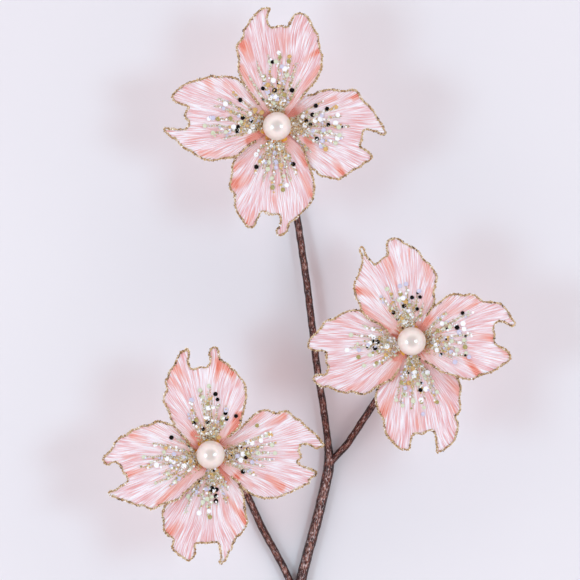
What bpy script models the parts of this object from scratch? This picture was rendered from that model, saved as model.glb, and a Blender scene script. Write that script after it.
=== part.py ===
"""Artificial dogwood branch: three fabric blooms with pearl centres on one taped stem.

The stem lies down and bends up under each bloom.
"""

import math
from typing import NamedTuple

import bmesh
import bpy
from mathutils import Vector

MM = 0.001
WELD = 0.001 * MM

# View scale: outlines are read in pixels of a 580 by 580 view from straight above
VIEW_CENTRE_PX = 290.0
BLOOM_PX = 0.500 * MM
STEM_PX = 0.508 * MM
VIEW_CENTRE = Vector((-9.33 * MM, 99.79 * MM, 0.0))

# Bloom: heights above the surface it lies on, and the stacking of the petals
PEARL_RADIUS = 7.0 * MM
PETAL_THICKNESS = 0.7 * MM
ROOT_RADIUS = 3.0 * MM
ROOT_HEIGHT = 46.6 * MM
FREE_RADIUS = 10.5 * MM
LEVEL_STEP = 1.4 * MM
LEVEL_RAMP = (ROOT_RADIUS, FREE_RADIUS)
LEVEL_FADE = (34.0 * MM, 52.0 * MM)
TIP_LEVEL_SHARE = 0.3
PETAL_RISE = 3.0 * MM
RISE_SPAN = (6.0 * MM, 30.0 * MM)
TIP_SPAN = (30.0 * MM, 58.0 * MM)
PLEAT_DEPTH = 0.3 * MM
PLEAT_SPAN = (8.0 * MM, 50.0 * MM)
ROOT_PLEAT_SHARE = 0.2
GAP = 0.3 * MM
PEARL_SIDES = 16
PEARL_RINGS = 10
PEARL_BORE_TOP = 0.5 * MM

# Petal grid, from root to tip and from side to side
ROWS = 10
COLUMNS = 10
FREE_SHARE = 0.12
ROW_CROWDING = 1.2
SHARP_TURN = math.radians(40)

# Glitter: a bead round the edge, and lines with hex sequins that spread over the petal
EDGE_RADIUS = 0.55 * MM
EDGE_INSET = 0.9 * MM
INSET_SPAN = (FREE_RADIUS, 15.0 * MM)
WIDEST_MITRE = 1.7
LINE_RADIUS = 0.5 * MM
LINE_TIP_RADIUS = 0.35 * MM
LINE_LIFT = 0.5 * MM
BAND_RADIUS = 0.65 * MM
BAND_DISTANCE = 8.7 * MM
BAND_STEPS = 4
LINE_KNEE = FREE_RADIUS
LINE_REACH = (24.0 * MM, 30.0 * MM, 33.5 * MM, 31.0 * MM, 25.0 * MM)
SEQUIN_RADIUS = 1.05 * MM
SEQUIN_THICKNESS = 0.5 * MM
SEQUIN_SPOTS = ((0, 0.6), (1, 0.8), (2, 0.45), (3, 0.7))

# Stem: wires side by side in tape, with a bend up to each bloom
WIRE_RADIUS = 0.65 * MM
BORE_RADIUS = 1.05 * MM
TWIG_RADIUS = 1.85 * MM
TWIG_END_RADIUS = 1.5 * MM
PAIR_RADIUS = 2.65 * MM
BUNDLE_RADIUS = 2.75 * MM
PAIR_OFFSET = 0.83 * MM
BUNDLE_OFFSET = 0.96 * MM
BEND_RADIUS = 14.0 * MM
BEND_HEIGHT = 1.6 * MM
BEND_STEPS = 4
TWIG_TOP = 41.0 * MM
CALYX_FOOT = TWIG_TOP + GAP
CALYX_TOP = ROOT_HEIGHT - PETAL_THICKNESS / 2 - GAP
CALYX_RADIUS = 5.0 * MM
CALYX_RIM = 0.6 * MM
CALYX_SIDES = 14
WIRE_END = 0.6 * MM
BORE_OVERRUN = 1.0 * MM

# Radius of the calyx and height above its foot, from the flare down to the twig
CALYX_TAPER = ((3.6 * MM, 2.8 * MM), (2.6 * MM, 1.0 * MM), (2.3 * MM, 0.0))

# Roundness of each kind of tube
STEM_ROUNDING = 3
BORE_ROUNDING = 2
WIRE_ROUNDING = 1
GLITTER_ROUNDING = 0


class Petal(NamedTuple):
    """A petal's place in the stack, its bearings in degrees round the bloom, and its outline in view pixels.

    The outline runs anticlockwise: up one side to a horn, across the notch, and down the other side.
    """

    level: int
    root_bearings: tuple
    line_bearings: tuple
    tip_lift: float
    edge_from: tuple
    rise: tuple
    notch: tuple
    fall: tuple
    spike: tuple = ()


TOP_BLOOM = {
    "upper": Petal(
        3, (49, 129), (62, 117), 0.5 * MM, (20 * MM, 15 * MM),
        ((299, 100.5), (306, 91.5), (312.5, 84.5), (318, 76), (321.5, 67), (322, 56),
         (319, 44), (316.5, 35), (311, 25), (306, 17), (301, 13.3)),
        ((295, 15.5), (291, 21.5), (287, 27), (280, 26.2), (274, 27.5), (269, 25.5), (267, 19), (268, 12)),
        ((265.5, 8.3), (260, 10.5), (252, 18.5), (245.5, 29), (239, 41), (237, 47), (239, 58),
         (238.5, 68), (240.5, 75), (247, 88.5), (256, 100))),
    "left": Petal(
        2, (129, 214), (143, 203), -0.5 * MM, (25 * MM, 14 * MM),
        ((252, 93.5), (244, 84), (236, 78.5), (225, 76.5), (212, 76), (200, 79.5),
         (190, 82.5), (181, 87.5), (175, 92), (172.3, 97)),
        ((176, 101.5), (184, 104.5), (188.5, 107.5), (185.5, 114), (189, 121.5), (187, 129),
         (179, 129.8), (170, 129)),
        ((164.5, 129.3), (167, 133.5), (175, 138.5), (182, 146), (191, 151), (201, 158), (211, 160),
         (221, 159), (231, 157.5), (240, 153.5), (248, 146), (256, 141))),
    "lower": Petal(
        1, (214, 319), (230, 305), 0.8 * MM, (26 * MM, 16 * MM),
        ((241, 148), (235, 158), (232.3, 167), (231.3, 178), (230.5, 186), (234, 193),
         (235, 203), (238, 213), (243.5, 221), (249.5, 227.5)),
        ((254, 225.5), (257, 218), (261, 212), (270, 213.8), (276.5, 214.3), (280, 219), (279.5, 227)),
        ((279.5, 234.7), (285.5, 234), (289.5, 228.5), (291, 222.5), (297, 217), (305, 208.5), (312, 200),
         (314.3, 189), (313.5, 178), (310, 167), (306, 156), (299, 146))),
    "right": Petal(
        0, (319, 409), (333, 395), -0.6 * MM, (28 * MM, 24 * MM),
        ((299, 155), (306, 166), (314.5, 171.5), (322, 176), (333, 178.5), (342, 177.5),
         (350, 172), (360, 167), (369, 160.5), (371.8, 157.5)),
        ((369, 153.5), (364, 149.5), (360, 147), (361.5, 139.5), (362.5, 130.5), (369, 129.8), (378, 132.3)),
        ((386, 133.5), (384, 128), (379, 121), (373, 111), (366, 103.5), (360.5, 98), (358, 92),
         (351, 90), (341, 91), (332, 89.5), (322, 91), (314, 94), (305, 96), (296, 100))),
}

RIGHT_BLOOM = {
    "upper": Petal(
        2, (60, 158), (74, 146), 0.0 * MM, (21 * MM, 13 * MM),
        ((432, 312), (434.3, 302), (433.7, 292), (435.3, 284), (436.5, 276), (432.5, 268.5),
         (426, 261.5), (421.5, 255.5), (415.5, 248.7), (407, 244.5), (401, 240.5), (395, 238.5),
         (389.5, 239.3)),
        ((387.3, 246), (387.3, 254), (381, 260), (375, 264.8), (369, 259.5)),
        ((365, 256), (363.3, 259), (361.5, 266), (358.5, 275), (354.5, 283), (354.5, 291), (357, 299),
         (361, 308), (366, 316), (374, 321.5), (384, 328)),
        ((365.5, 255.5), (362.6, 247.8), (359.2, 249.3), (362.2, 257.5))),
    "left": Petal(
        1, (158, 245), (173, 225), 1.0 * MM, (30 * MM, 16 * MM),
        ((381, 322.5), (370, 314), (361, 311), (352, 310.5), (343, 313.5), (335, 318.5),
         (326, 321), (320.5, 328.5), (315, 334.5), (310, 339.5), (308, 344.5)),
        ((311.5, 349), (319, 350.5), (326, 352.3), (326.7, 361), (328.5, 367), (326.5, 373.8), (319, 375)),
        ((313.3, 378), (316, 382.5), (322, 386.7), (328, 386), (336, 390.5), (345, 393), (355, 392),
         (363, 394), (371, 390.5), (379, 385.5), (388, 381), (394.5, 374), (401, 365))),
    "lower": Petal(
        0, (245, 299), (258, 287), -0.8 * MM, (30 * MM, 30 * MM),
        ((390, 371), (381.5, 380), (377, 389.5), (376, 398), (377.3, 407), (381.5, 416),
         (384.5, 424), (386, 433), (392, 441), (398, 447), (404, 450)),
        ((409.3, 449), (410.7, 441), (413.3, 434.7), (420, 433.5), (427, 430.8), (432.5, 430.3),
         (436, 436.5), (436.7, 446)),
        ((437.5, 452.8), (445, 449), (452.5, 442.5), (456.5, 433), (457.8, 425.5), (455.3, 417),
         (459.5, 410), (459.7, 399), (461, 388), (458.5, 378.5), (452, 369.5), (441, 364.5))),
    "right": Petal(
        3, (299, 420), (327, 397), 0.6 * MM, (13 * MM, 16 * MM),
        ((430.5, 364.5), (441, 371.5), (451, 374.8), (461, 377.7), (470, 379.2),
         (480, 375), (491, 372), (500.5, 366), (508, 361.5), (510.2, 357)),
        ((508.5, 352.5), (503, 348.5), (496, 344.5), (494.3, 337), (493, 329.5), (496.5, 322.3),
         (503, 321.5), (509, 324.8)),
        ((514.5, 324.5), (511.3, 317.5), (506.5, 310), (500, 304), (491, 302.2), (482, 301),
         (475.5, 295.7), (465, 295.3), (456, 293.8), (447, 296.5), (440, 302.5), (433.5, 306),
         (427.5, 315))),
}

LEFT_BLOOM = {
    "upper": Petal(
        3, (48, 152), (61, 135), 0.4 * MM, (13 * MM, 13 * MM),
        ((233.5, 432.5), (240, 425), (243, 414), (245, 404), (246, 395), (245, 386),
         (240.5, 378), (234.5, 371), (229, 366), (223, 361.3), (219, 357.5), (217.8, 350.5), (214.3, 347)),
        ((210.3, 350.5), (210.3, 359), (209, 365), (202, 367), (193, 369.6), (188.7, 365), (188.3, 356)),
        ((187.5, 349.5), (181.5, 351.5), (176.5, 360), (170.5, 370), (168.5, 377), (166, 382),
         (167, 389), (163.8, 399), (168, 409), (171.5, 419), (178, 430.5), (186, 439))),
    "left": Petal(
        2, (152, 253), (167, 233), -0.3 * MM, (24 * MM, 14 * MM),
        ((184, 433), (175, 426.8), (165, 423), (157, 421.8), (149, 425.3), (140, 427),
         (130, 432.3), (121, 437), (115, 443), (111.5, 450), (105.5, 455.3), (103, 459.5)),
        ((107, 464.8), (113, 462.2), (119.5, 464.5), (124, 473), (128, 479), (125, 484), (118, 488.5)),
        ((109, 491.5), (112, 496), (123.5, 500), (135, 504.5), (144, 505), (152, 508.8), (161, 504.5),
         (170, 502), (180, 497.5), (188, 489), (198, 480.5))),
    "lower": Petal(
        0, (253, 308), (264, 296), -0.5 * MM, (33 * MM, 24 * MM),
        ((190, 481), (180, 489.5), (170, 498.5), (164.5, 507), (162.5, 516), (164, 526),
         (165.5, 533), (173, 537.8), (172.8, 546), (178, 554), (187.5, 560.3)),
        ((194, 555), (194.8, 546.5), (202, 542.6), (211, 542.3), (218.3, 543), (220.7, 552)),
        ((220.3, 562.5), (226, 559), (229, 551), (232, 546), (234.5, 539.5), (242, 532.5), (247.3, 523),
         (245, 510), (243.8, 498), (241.5, 487), (237, 479))),
    "right": Petal(
        1, (308, 408), (324, 393), 0.7 * MM, (16 * MM, 21 * MM),
        ((236, 481), (245, 489), (254, 495), (263, 497.5), (273, 498), (282, 495.5),
         (291, 492), (299, 488), (308.5, 483.5), (309.5, 479.5), (316.6, 474)),
        ((312, 469.8), (303, 466.7), (297.3, 460.5), (300.5, 457), (298.7, 450), (300.5, 444.3),
         (307, 444), (314, 447.3)),
        ((323, 446.5), (321, 441), (314, 433), (307, 427.3), (300, 420.3), (293, 416.5), (286.5, 411.3),
         (276.5, 413.3), (265, 410.3), (255, 414.3), (248, 421), (241, 424.5), (233.5, 428))),
}

# Each bloom: the pearl's centre in view pixels, and its petals
BLOOMS = {
    "top_bloom": ((277.0, 126.3), TOP_BLOOM),
    "right_bloom": ((411.6, 341.2), RIGHT_BLOOM),
    "left_bloom": ((210.8, 454.5), LEFT_BLOOM),
}

# Stem: points on the centre line in view pixels, each with its height in millimetres
TWIG_OF_TOP_BLOOM = (
    (288, 170, 2.6), (297, 218, 4.2), (303.5, 260.6, 5.8), (308.6, 297, 6.8), (317, 367, 6.6),
    (322.4, 401, 5.6), (327.3, 437.5, 4.2))
TWIG_OF_RIGHT_BLOOM = ((386, 386, 2.9), (375.7, 401, 3.4), (361.2, 423, 3.9), (346.6, 444.8, 3.7))
TWIG_OF_LEFT_BLOOM = (
    (236, 474, 2.3), (247.3, 495.7, 2.6), (261.8, 527.2, 2.9), (276.4, 553.9, 2.9), (288, 577, 2.8))
FIRST_FORK = (329.0, 463.0, 3.3)
PAIR_RUN = ((325.5, 484, 3.1), (317.5, 518, 3.0), (305.5, 562, 3.0))
SECOND_FORK = (296.5, 600.0, 2.95)
BUNDLE_RUN = ((287, 645, 2.95), (280, 705, 2.9), (276, 770, 2.75), (274, 830, 2.5), (273, 960, 2.5))


# Start from an empty scene, with one collection for the parts and one for what cuts them

for leftover in list(bpy.data.objects):
    bpy.data.objects.remove(leftover, do_unlink=True)

parts = bpy.data.collections.new("artificial_dogwood_branch")
bpy.context.scene.collection.children.link(parts)
tools = bpy.data.collections.new("cutters")
bpy.context.scene.collection.children.link(tools)


def make_material(name, colour, roughness, metallic=0.0):
    """A plain Principled material."""
    material = bpy.data.materials.new(name)
    material.use_nodes = True
    shader = material.node_tree.nodes["Principled BSDF"]
    shader.inputs["Base Color"].default_value = (*colour, 1.0)
    shader.inputs["Roughness"].default_value = roughness
    shader.inputs["Metallic"].default_value = metallic
    material.diffuse_color = (*colour, 1.0)
    return material


SATIN = make_material("pink_satin", (0.86, 0.58, 0.60), 0.5)
GOLD_GLITTER = make_material("gold_glitter", (0.50, 0.35, 0.18), 0.35, 0.8)
PALE_GLITTER = make_material("champagne_glitter", (0.66, 0.54, 0.36), 0.3, 0.8)
PEARL = make_material("ivory_pearl", (0.88, 0.82, 0.74), 0.18)
TAPE = make_material("brown_tape", (0.09, 0.035, 0.025), 0.45)
STEEL = make_material("wire_steel", (0.45, 0.44, 0.42), 0.35, 1.0)


def smooth(span, value):
    """A soft step from 0 to 1 across a span."""
    t = min(max((value - span[0]) / (span[1] - span[0]), 0.0), 1.0)
    return t * t * (3 - 2 * t)


def ramp(span, value):
    """A straight step from 0 to 1 across a span."""
    return min(max((value - span[0]) / (span[1] - span[0]), 0.0), 1.0)


def distance_from(centre, point):
    """Distance of a point from a bloom's axis."""
    return math.hypot(point.x - centre.x, point.y - centre.y)


def place(point, scale, height=0.0):
    """A point of the view, in metres, at a height above the surface."""
    x = (point[0] - VIEW_CENTRE_PX) * scale
    y = (VIEW_CENTRE_PX - point[1]) * scale
    return Vector((x, y, height)) + VIEW_CENTRE


def add_object(name, mesh, material, collection=parts):
    """A mesh as a named object with its own material."""
    thing = bpy.data.objects.new(name, mesh)
    mesh.materials.clear()
    if material:
        mesh.materials.append(material)
    collection.objects.link(thing)
    return thing


def mesh_from(name, build):
    """A mesh made in bmesh, welded, with its faces turned outward."""
    bm = bmesh.new()
    build(bm)
    bmesh.ops.remove_doubles(bm, verts=bm.verts, dist=WELD)
    bmesh.ops.recalc_face_normals(bm, faces=bm.faces)
    mesh = bpy.data.meshes.new(name)
    bm.to_mesh(mesh)
    bm.free()
    return mesh


def tube(name, path, radii, resolution):
    """A round tube along a path with filled ends, as a mesh."""
    curve = bpy.data.curves.new(name, "CURVE")
    curve.dimensions = "3D"
    curve.bevel_depth = 1.0
    curve.bevel_resolution = resolution
    curve.use_fill_caps = True
    spline = curve.splines.new("POLY")
    spline.points.add(len(path) - 1)
    for spot, position, radius in zip(spline.points, path, radii):
        spot.co = (*position, 1.0)
        spot.radius = radius
    holder = bpy.data.objects.new(name, curve)
    tools.objects.link(holder)
    mesh = bpy.data.meshes.new_from_object(holder.evaluated_get(bpy.context.evaluated_depsgraph_get()))
    bpy.data.objects.remove(holder, do_unlink=True)
    bm = bmesh.new()
    bm.from_mesh(mesh)
    bmesh.ops.remove_doubles(bm, verts=bm.verts, dist=WELD)
    bmesh.ops.recalc_face_normals(bm, faces=bm.faces)
    bm.to_mesh(mesh)
    bm.free()
    return mesh


def combine(thing, other, operation, solver="EXACT"):
    """Apply one Boolean to an object and drop what it was made with."""
    change = thing.modifiers.new("combine", "BOOLEAN")
    change.operation = operation
    change.solver = solver
    if isinstance(other, bpy.types.Collection):
        change.operand_type = "COLLECTION"
        change.collection = other
        spent = list(other.objects)
    else:
        change.object = other
        spent = [other]
    bpy.context.view_layer.update()
    mesh = bpy.data.meshes.new_from_object(thing.evaluated_get(bpy.context.evaluated_depsgraph_get()))
    thing.modifiers.clear()
    thing.data = mesh
    for used in spent:
        bpy.data.objects.remove(used, do_unlink=True)


# Petals: a notched blade stretched between its outline's four sides, with radial pleats


def shares(count, crowding):
    """Shares of a length from 0 to 1, closer together towards its end."""
    return [1 - (1 - i / count) ** crowding for i in range(count + 1)]


def steps_along(points, count, crowding):
    """Points along a path, closer together towards its end and kept on its sharp corners."""
    lengths = [0.0]
    for a, b in zip(points, points[1:]):
        lengths.append(lengths[-1] + (b - a).length)
    stops = [lengths[-1] * share for share in shares(count, crowding)]
    for k in range(1, len(points) - 1):
        if (points[k] - points[k - 1]).angle(points[k + 1] - points[k]) > SHARP_TURN:
            nearest = min(range(1, count), key=lambda i: abs(stops[i] - lengths[k]))
            stops[nearest] = lengths[k]
    found = []
    for stop in stops:
        k = 0
        while k < len(points) - 2 and lengths[k + 1] < stop:
            k += 1
        found.append(points[k].lerp(points[k + 1], (stop - lengths[k]) / (lengths[k + 1] - lengths[k])))
    return found


def at_bearing(centre, bearing, distance):
    """A point at a bearing in radians and a distance from a bloom's centre."""
    return centre + distance * Vector((math.cos(bearing), math.sin(bearing), 0))


def outline_of(petal, centre):
    """The petal's outer line as rise, notch and fall, each stepped evenly."""
    sides = []
    for bearing, inward, points in ((petal.root_bearings[0], 1, petal.rise),
                                    (petal.root_bearings[1], -1, reversed(petal.fall))):
        near = at_bearing(centre, math.radians(bearing) + inward * GAP / ROOT_RADIUS, ROOT_RADIUS)
        free = at_bearing(centre, math.radians(bearing) + inward * GAP / FREE_RADIUS, FREE_RADIUS)
        side = [free] + [place(p, BLOOM_PX) for p in points]
        sides.append([near] + steps_along(side, ROWS - 1, ROW_CROWDING))
    rise, fall = sides
    notch = [rise[-1]] + [place(p, BLOOM_PX) for p in petal.notch] + [fall[-1]]
    return rise, steps_along(notch, COLUMNS, 1.0), fall


def drawn_in(line, centre):
    """The line moved into the petal to leave room for the glitter edge."""
    moved = []
    for i, point in enumerate(line):
        ahead = (line[min(i + 1, len(line) - 1)] - point).to_2d()
        behind = (point - line[max(i - 1, 0)]).to_2d()
        ahead = ahead.normalized() if ahead.length else behind.normalized()
        behind = behind.normalized() if behind.length else ahead
        along = (ahead + behind).normalized()
        mitre = min(1 / max(along.dot(ahead), 1 / WIDEST_MITRE), WIDEST_MITRE)
        inset = EDGE_INSET * mitre * ramp(INSET_SPAN, distance_from(centre, point))
        moved.append(point + inset * Vector((-along.y, along.x, 0)))
    return moved


def height_at(petal, distance):
    """Height of the middle of the blade at a distance from the bloom's centre."""
    kept = 1 - (1 - TIP_LEVEL_SHARE) * smooth(LEVEL_FADE, distance)
    stacked = petal.level * LEVEL_STEP * ramp(LEVEL_RAMP, distance)
    return (ROOT_HEIGHT + stacked * kept + PETAL_RISE * smooth(RISE_SPAN, distance)
            + petal.tip_lift * smooth(TIP_SPAN, distance))


def pleat_at(distance):
    """Depth of the pleats at a distance from the bloom's centre."""
    return PLEAT_DEPTH * (ROOT_PLEAT_SHARE + (1 - ROOT_PLEAT_SHARE) * smooth(PLEAT_SPAN, distance))


def petal_grid(petal, centre):
    """Rows of points across the blade, stretched between root, sides and notch by bearing and distance."""
    rise, notch, fall = outline_of(petal, centre)
    line = drawn_in(rise + notch[1:] + fall[-2::-1], centre)
    middle = math.radians(sum(petal.root_bearings) / 2)

    def polar(point):
        turn = math.atan2(point.y - centre.y, point.x - centre.x) - middle
        return Vector((math.remainder(turn, 2 * math.pi), distance_from(centre, point)))

    line = [polar(point) for point in line]
    side_a = line[:ROWS + 1]
    tip = line[ROWS:ROWS + COLUMNS + 1]
    side_b = line[ROWS + COLUMNS:][::-1]
    outward = [0.0] + [FREE_SHARE + (1 - FREE_SHARE) * share for share in shares(ROWS - 1, ROW_CROWDING)]
    grid = []
    for i, v in enumerate(outward):
        row = []
        for j in range(COLUMNS + 1):
            u = j / COLUMNS
            end = side_a[-1].lerp(side_b[-1], u)
            bearing, distance = side_a[i].lerp(side_b[i], u) + smooth((0, 1), v) * (tip[j] - end)
            row.append(at_bearing(centre, middle + bearing, distance))
            row[-1].z = height_at(petal, distance)
        grid.append(row)
    return grid


def flat_area(a, b, c):
    """Twice the area of a triangle seen from above, positive where it turns anticlockwise."""
    return (b.x - a.x) * (c.y - a.y) - (c.x - a.x) * (b.y - a.y)


def split_cell(grid, i, j):
    """The cell's two triangles, cut along the diagonal that leaves the fuller pair."""
    near_a, near_b, far_a, far_b = (i, j), (i, j + 1), (i + 1, j), (i + 1, j + 1)
    pairs = (((near_a, far_a, far_b), (near_a, far_b, near_b)),
             ((near_a, far_a, near_b), (near_b, far_a, far_b)))

    def slimmest(pair):
        return min(flat_area(*(grid[m][k] for m, k in reversed(corners))) for corners in pair)

    return max(pairs, key=slimmest)


def add_petal(name, grid, centre):
    """The blade as a closed solid, both faces split alike."""
    def build(bm):
        faces = []
        for side in (0.5, -0.5):
            sheet = []
            for row in grid:
                line = []
                for j, point in enumerate(row):
                    fold = pleat_at(distance_from(centre, point)) * (1 if j % 2 else -1)
                    line.append(bm.verts.new(point + Vector((0, 0, fold + side * PETAL_THICKNESS))))
                sheet.append(line)
            faces.append(sheet)
        over, under = faces
        for sheet in faces:
            for i in range(ROWS):
                for j in range(COLUMNS):
                    for corners in split_cell(grid, i, j):
                        bm.faces.new([sheet[m][k] for m, k in corners])
        rim = [(i, 0) for i in range(ROWS)] + [(ROWS, j) for j in range(COLUMNS)]
        rim += [(i, COLUMNS) for i in range(ROWS, 0, -1)] + [(0, j) for j in range(COLUMNS, 0, -1)]
        for (i, j), (k, m) in zip(rim, rim[1:] + rim[:1]):
            bm.faces.new((over[i][j], over[k][m], under[k][m], under[i][j]))

    add_object(name, mesh_from(name, build), SATIN)


def add_glitter_edge(name, petal, centre):
    """The bead of glitter glue round the petal's free edge."""
    rise, notch, fall = outline_of(petal, centre)
    path = [p for p in rise if distance_from(centre, p) >= petal.edge_from[0]]
    path += notch[1:-1] + [place(p, BLOOM_PX) for p in petal.spike] if petal.spike else notch[1:]
    path += [p for p in reversed(fall[:-1]) if distance_from(centre, p) >= petal.edge_from[1]]
    for point in path:
        point.z = height_at(petal, distance_from(centre, point))
    add_object(name, tube(name, path, [EDGE_RADIUS] * len(path), GLITTER_ROUNDING), GOLD_GLITTER)


def add_glitter_spray(name, petal, centre):
    """Lines of glitter glue that spread from the pearl, with sequins set in them."""
    pieces = bpy.data.collections.new(name + "_pieces")
    bpy.context.scene.collection.children.link(pieces)
    first, last = (math.radians(bearing) for bearing in petal.line_bearings)

    def above(across, distance):
        point = at_bearing(centre, first + (last - first) * across, distance)
        lift = PETAL_THICKNESS / 2 + pleat_at(distance) + LINE_LIFT + LINE_RADIUS
        return point + Vector((0, 0, height_at(petal, distance) + lift))

    band = [above(k / BAND_STEPS, BAND_DISTANCE) for k in range(BAND_STEPS + 1)]
    spray = add_object(name, tube(name, band, [BAND_RADIUS] * len(band), GLITTER_ROUNDING), PALE_GLITTER)
    for k, reach in enumerate(LINE_REACH):
        across = k / (len(LINE_REACH) - 1)
        line = [above(across, d) for d in (BAND_DISTANCE, LINE_KNEE, (LINE_KNEE + reach) / 2, reach)]
        radii = [LINE_RADIUS] * (len(line) - 1) + [LINE_TIP_RADIUS]
        add_object(name + "_line", tube(name, line, radii, GLITTER_ROUNDING), None, pieces)
    for k, share in SEQUIN_SPOTS:
        spot = above(k / (len(LINE_REACH) - 1), LINE_KNEE + (LINE_REACH[k] - LINE_KNEE) * share)

        def build(bm):
            made = bmesh.ops.create_cone(bm, cap_ends=True, segments=6, radius1=SEQUIN_RADIUS,
                                         radius2=SEQUIN_RADIUS, depth=SEQUIN_THICKNESS)
            bmesh.ops.translate(bm, verts=made["verts"], vec=spot)

        add_object(name + "_sequin", mesh_from(name, build), None, pieces)
    combine(spray, pieces, "UNION")
    bpy.data.collections.remove(pieces)


# Pearls and calyxes: turned round each bloom's axis, with a bore for the wire


def add_pearl(name, centre):
    """A bead with a blind bore for the wire's end."""
    middle = ROOT_HEIGHT + PETAL_THICKNESS / 2 + GAP + math.sqrt(PEARL_RADIUS ** 2 - ROOT_RADIUS ** 2)

    def build(bm):
        made = bmesh.ops.create_uvsphere(bm, u_segments=PEARL_SIDES, v_segments=PEARL_RINGS,
                                         radius=PEARL_RADIUS)
        bmesh.ops.translate(bm, verts=made["verts"], vec=centre + Vector((0, 0, middle)))

    pearl = add_object(name, mesh_from(name, build), PEARL)
    ends = (middle - PEARL_RADIUS - BORE_OVERRUN, middle + PEARL_BORE_TOP)
    bore = [centre + Vector((0, 0, height)) for height in ends]
    cutter = add_object(name + "_bore", tube(name, bore, [BORE_RADIUS] * 2, BORE_ROUNDING), None, tools)
    combine(pearl, cutter, "DIFFERENCE")
    return middle


def add_calyx(name, centre):
    """The binding under the bloom, flared from the petals down to the twig."""
    profile = [(BORE_RADIUS, CALYX_TOP), (CALYX_RADIUS, CALYX_TOP), (CALYX_RADIUS, CALYX_TOP - CALYX_RIM)]
    profile += [(radius, CALYX_FOOT + height) for radius, height in CALYX_TAPER]
    profile.append((BORE_RADIUS, CALYX_FOOT))
    mesh = bpy.data.meshes.new(name)
    loop = [(i, (i + 1) % len(profile)) for i in range(len(profile))]
    mesh.from_pydata([(r, 0, z) for r, z in profile], loop, [])
    calyx = add_object(name, mesh, TAPE)
    calyx.location = centre
    turn = calyx.modifiers.new("turn", "SCREW")
    turn.axis = "Z"
    turn.steps = CALYX_SIDES
    turn.render_steps = CALYX_SIDES
    turn.use_merge_vertices = True
    turn.merge_threshold = WELD


# Stem: a taped twig from each bloom, joined at two forks, with a bore for each wire


def bend(centre, toward):
    """From the twig's top down round a bend to the surface, heading for the next point."""
    heading = (toward - centre).to_2d().normalized()
    points = [centre + Vector((0, 0, TWIG_TOP))]
    for k in range(BEND_STEPS + 1):
        angle = math.pi / 2 * k / BEND_STEPS
        out = BEND_RADIUS * (1 - math.cos(angle))
        drop = BEND_RADIUS * math.sin(angle)
        points.append(centre + Vector((heading.x * out, heading.y * out, BEND_HEIGHT + BEND_RADIUS - drop)))
    return points


def stations(points):
    """Stem readings as points in metres."""
    return [place(p, STEM_PX, p[2] * MM) for p in points]


def aside(path, index, bearing, offset):
    """A point set off from a path, to one side and up, as seen along it from its start."""
    ahead = path[min(index + 1, len(path) - 1)] - path[max(index - 1, 0)]
    across = Vector((-ahead.y, ahead.x, 0)).normalized()
    angle = math.radians(bearing)
    return path[index] + offset * (math.cos(angle) * across + math.sin(angle) * Vector((0, 0, 1)))


def beyond(path, amount):
    """A path made longer at its cut end."""
    return path[:-1] + [path[-1] + (path[-1] - path[-2]).normalized() * amount]


centres = {bloom: place(centre, BLOOM_PX) for bloom, (centre, _) in BLOOMS.items()}
shared = stations((FIRST_FORK,) + PAIR_RUN + (SECOND_FORK,) + BUNDLE_RUN)
second = 1 + len(PAIR_RUN)

# Bearings round the shared run's centre: 0 is the right bloom's side, 180 the left bloom's
pair_bearings = {"top_bloom": (180, 165, 135, 110), "right_bloom": (0, -5, -15, -25)}
bundle_bearings = {"top_bloom": 90, "right_bloom": -30, "left_bloom": 210}


def shared_run(bloom):
    """The wire's way through the shared part of the stem."""
    run = []
    for index in range(len(shared)):
        if index < second:
            if bloom not in pair_bearings:
                continue
            run.append(aside(shared, index, pair_bearings[bloom][index], PAIR_OFFSET))
        else:
            run.append(aside(shared, index, bundle_bearings[bloom], BUNDLE_OFFSET))
    return run


twig_points = {"top_bloom": TWIG_OF_TOP_BLOOM, "right_bloom": TWIG_OF_RIGHT_BLOOM,
               "left_bloom": TWIG_OF_LEFT_BLOOM}
twigs = {}
for bloom, points in twig_points.items():
    run = stations(points)
    twigs[bloom] = bend(centres[bloom], run[0]) + run

main_path = twigs["top_bloom"] + shared
main_radii = [TWIG_RADIUS] * len(twigs["top_bloom"]) + [PAIR_RADIUS] * second
main_radii += [BUNDLE_RADIUS] * (len(shared) - second)
stem = add_object("taped_stem", tube("taped_stem", main_path, main_radii, STEM_ROUNDING), TAPE)
for bloom in ("right_bloom", "left_bloom"):
    joined = twigs[bloom] + shared_run(bloom)[:2]
    radii = [TWIG_RADIUS] * (len(joined) - 1) + [TWIG_END_RADIUS]
    twig = add_object(bloom + "_twig", tube(bloom, joined, radii, STEM_ROUNDING), None, tools)
    combine(stem, twig, "UNION")
for bloom, twig in twigs.items():
    up = twig[0] + Vector((0, 0, BORE_OVERRUN))
    bore = beyond([up] + twig[1:] + shared_run(bloom), BORE_OVERRUN)
    radii = [BORE_RADIUS] * len(bore)
    cutter = add_object(bloom + "_bore", tube(bloom, bore, radii, BORE_ROUNDING), None, tools)
    combine(stem, cutter, "DIFFERENCE")


def build_floor(bm):
    """A block below the surface, which leaves the stem's low spots flat."""
    made = bmesh.ops.create_cube(bm, size=1.0)
    bmesh.ops.translate(bm, verts=made["verts"], vec=(0, 0, -0.5))


combine(stem, add_object("surface", mesh_from("surface", build_floor), None, tools), "DIFFERENCE")


# Build every bloom and its wire

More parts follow.
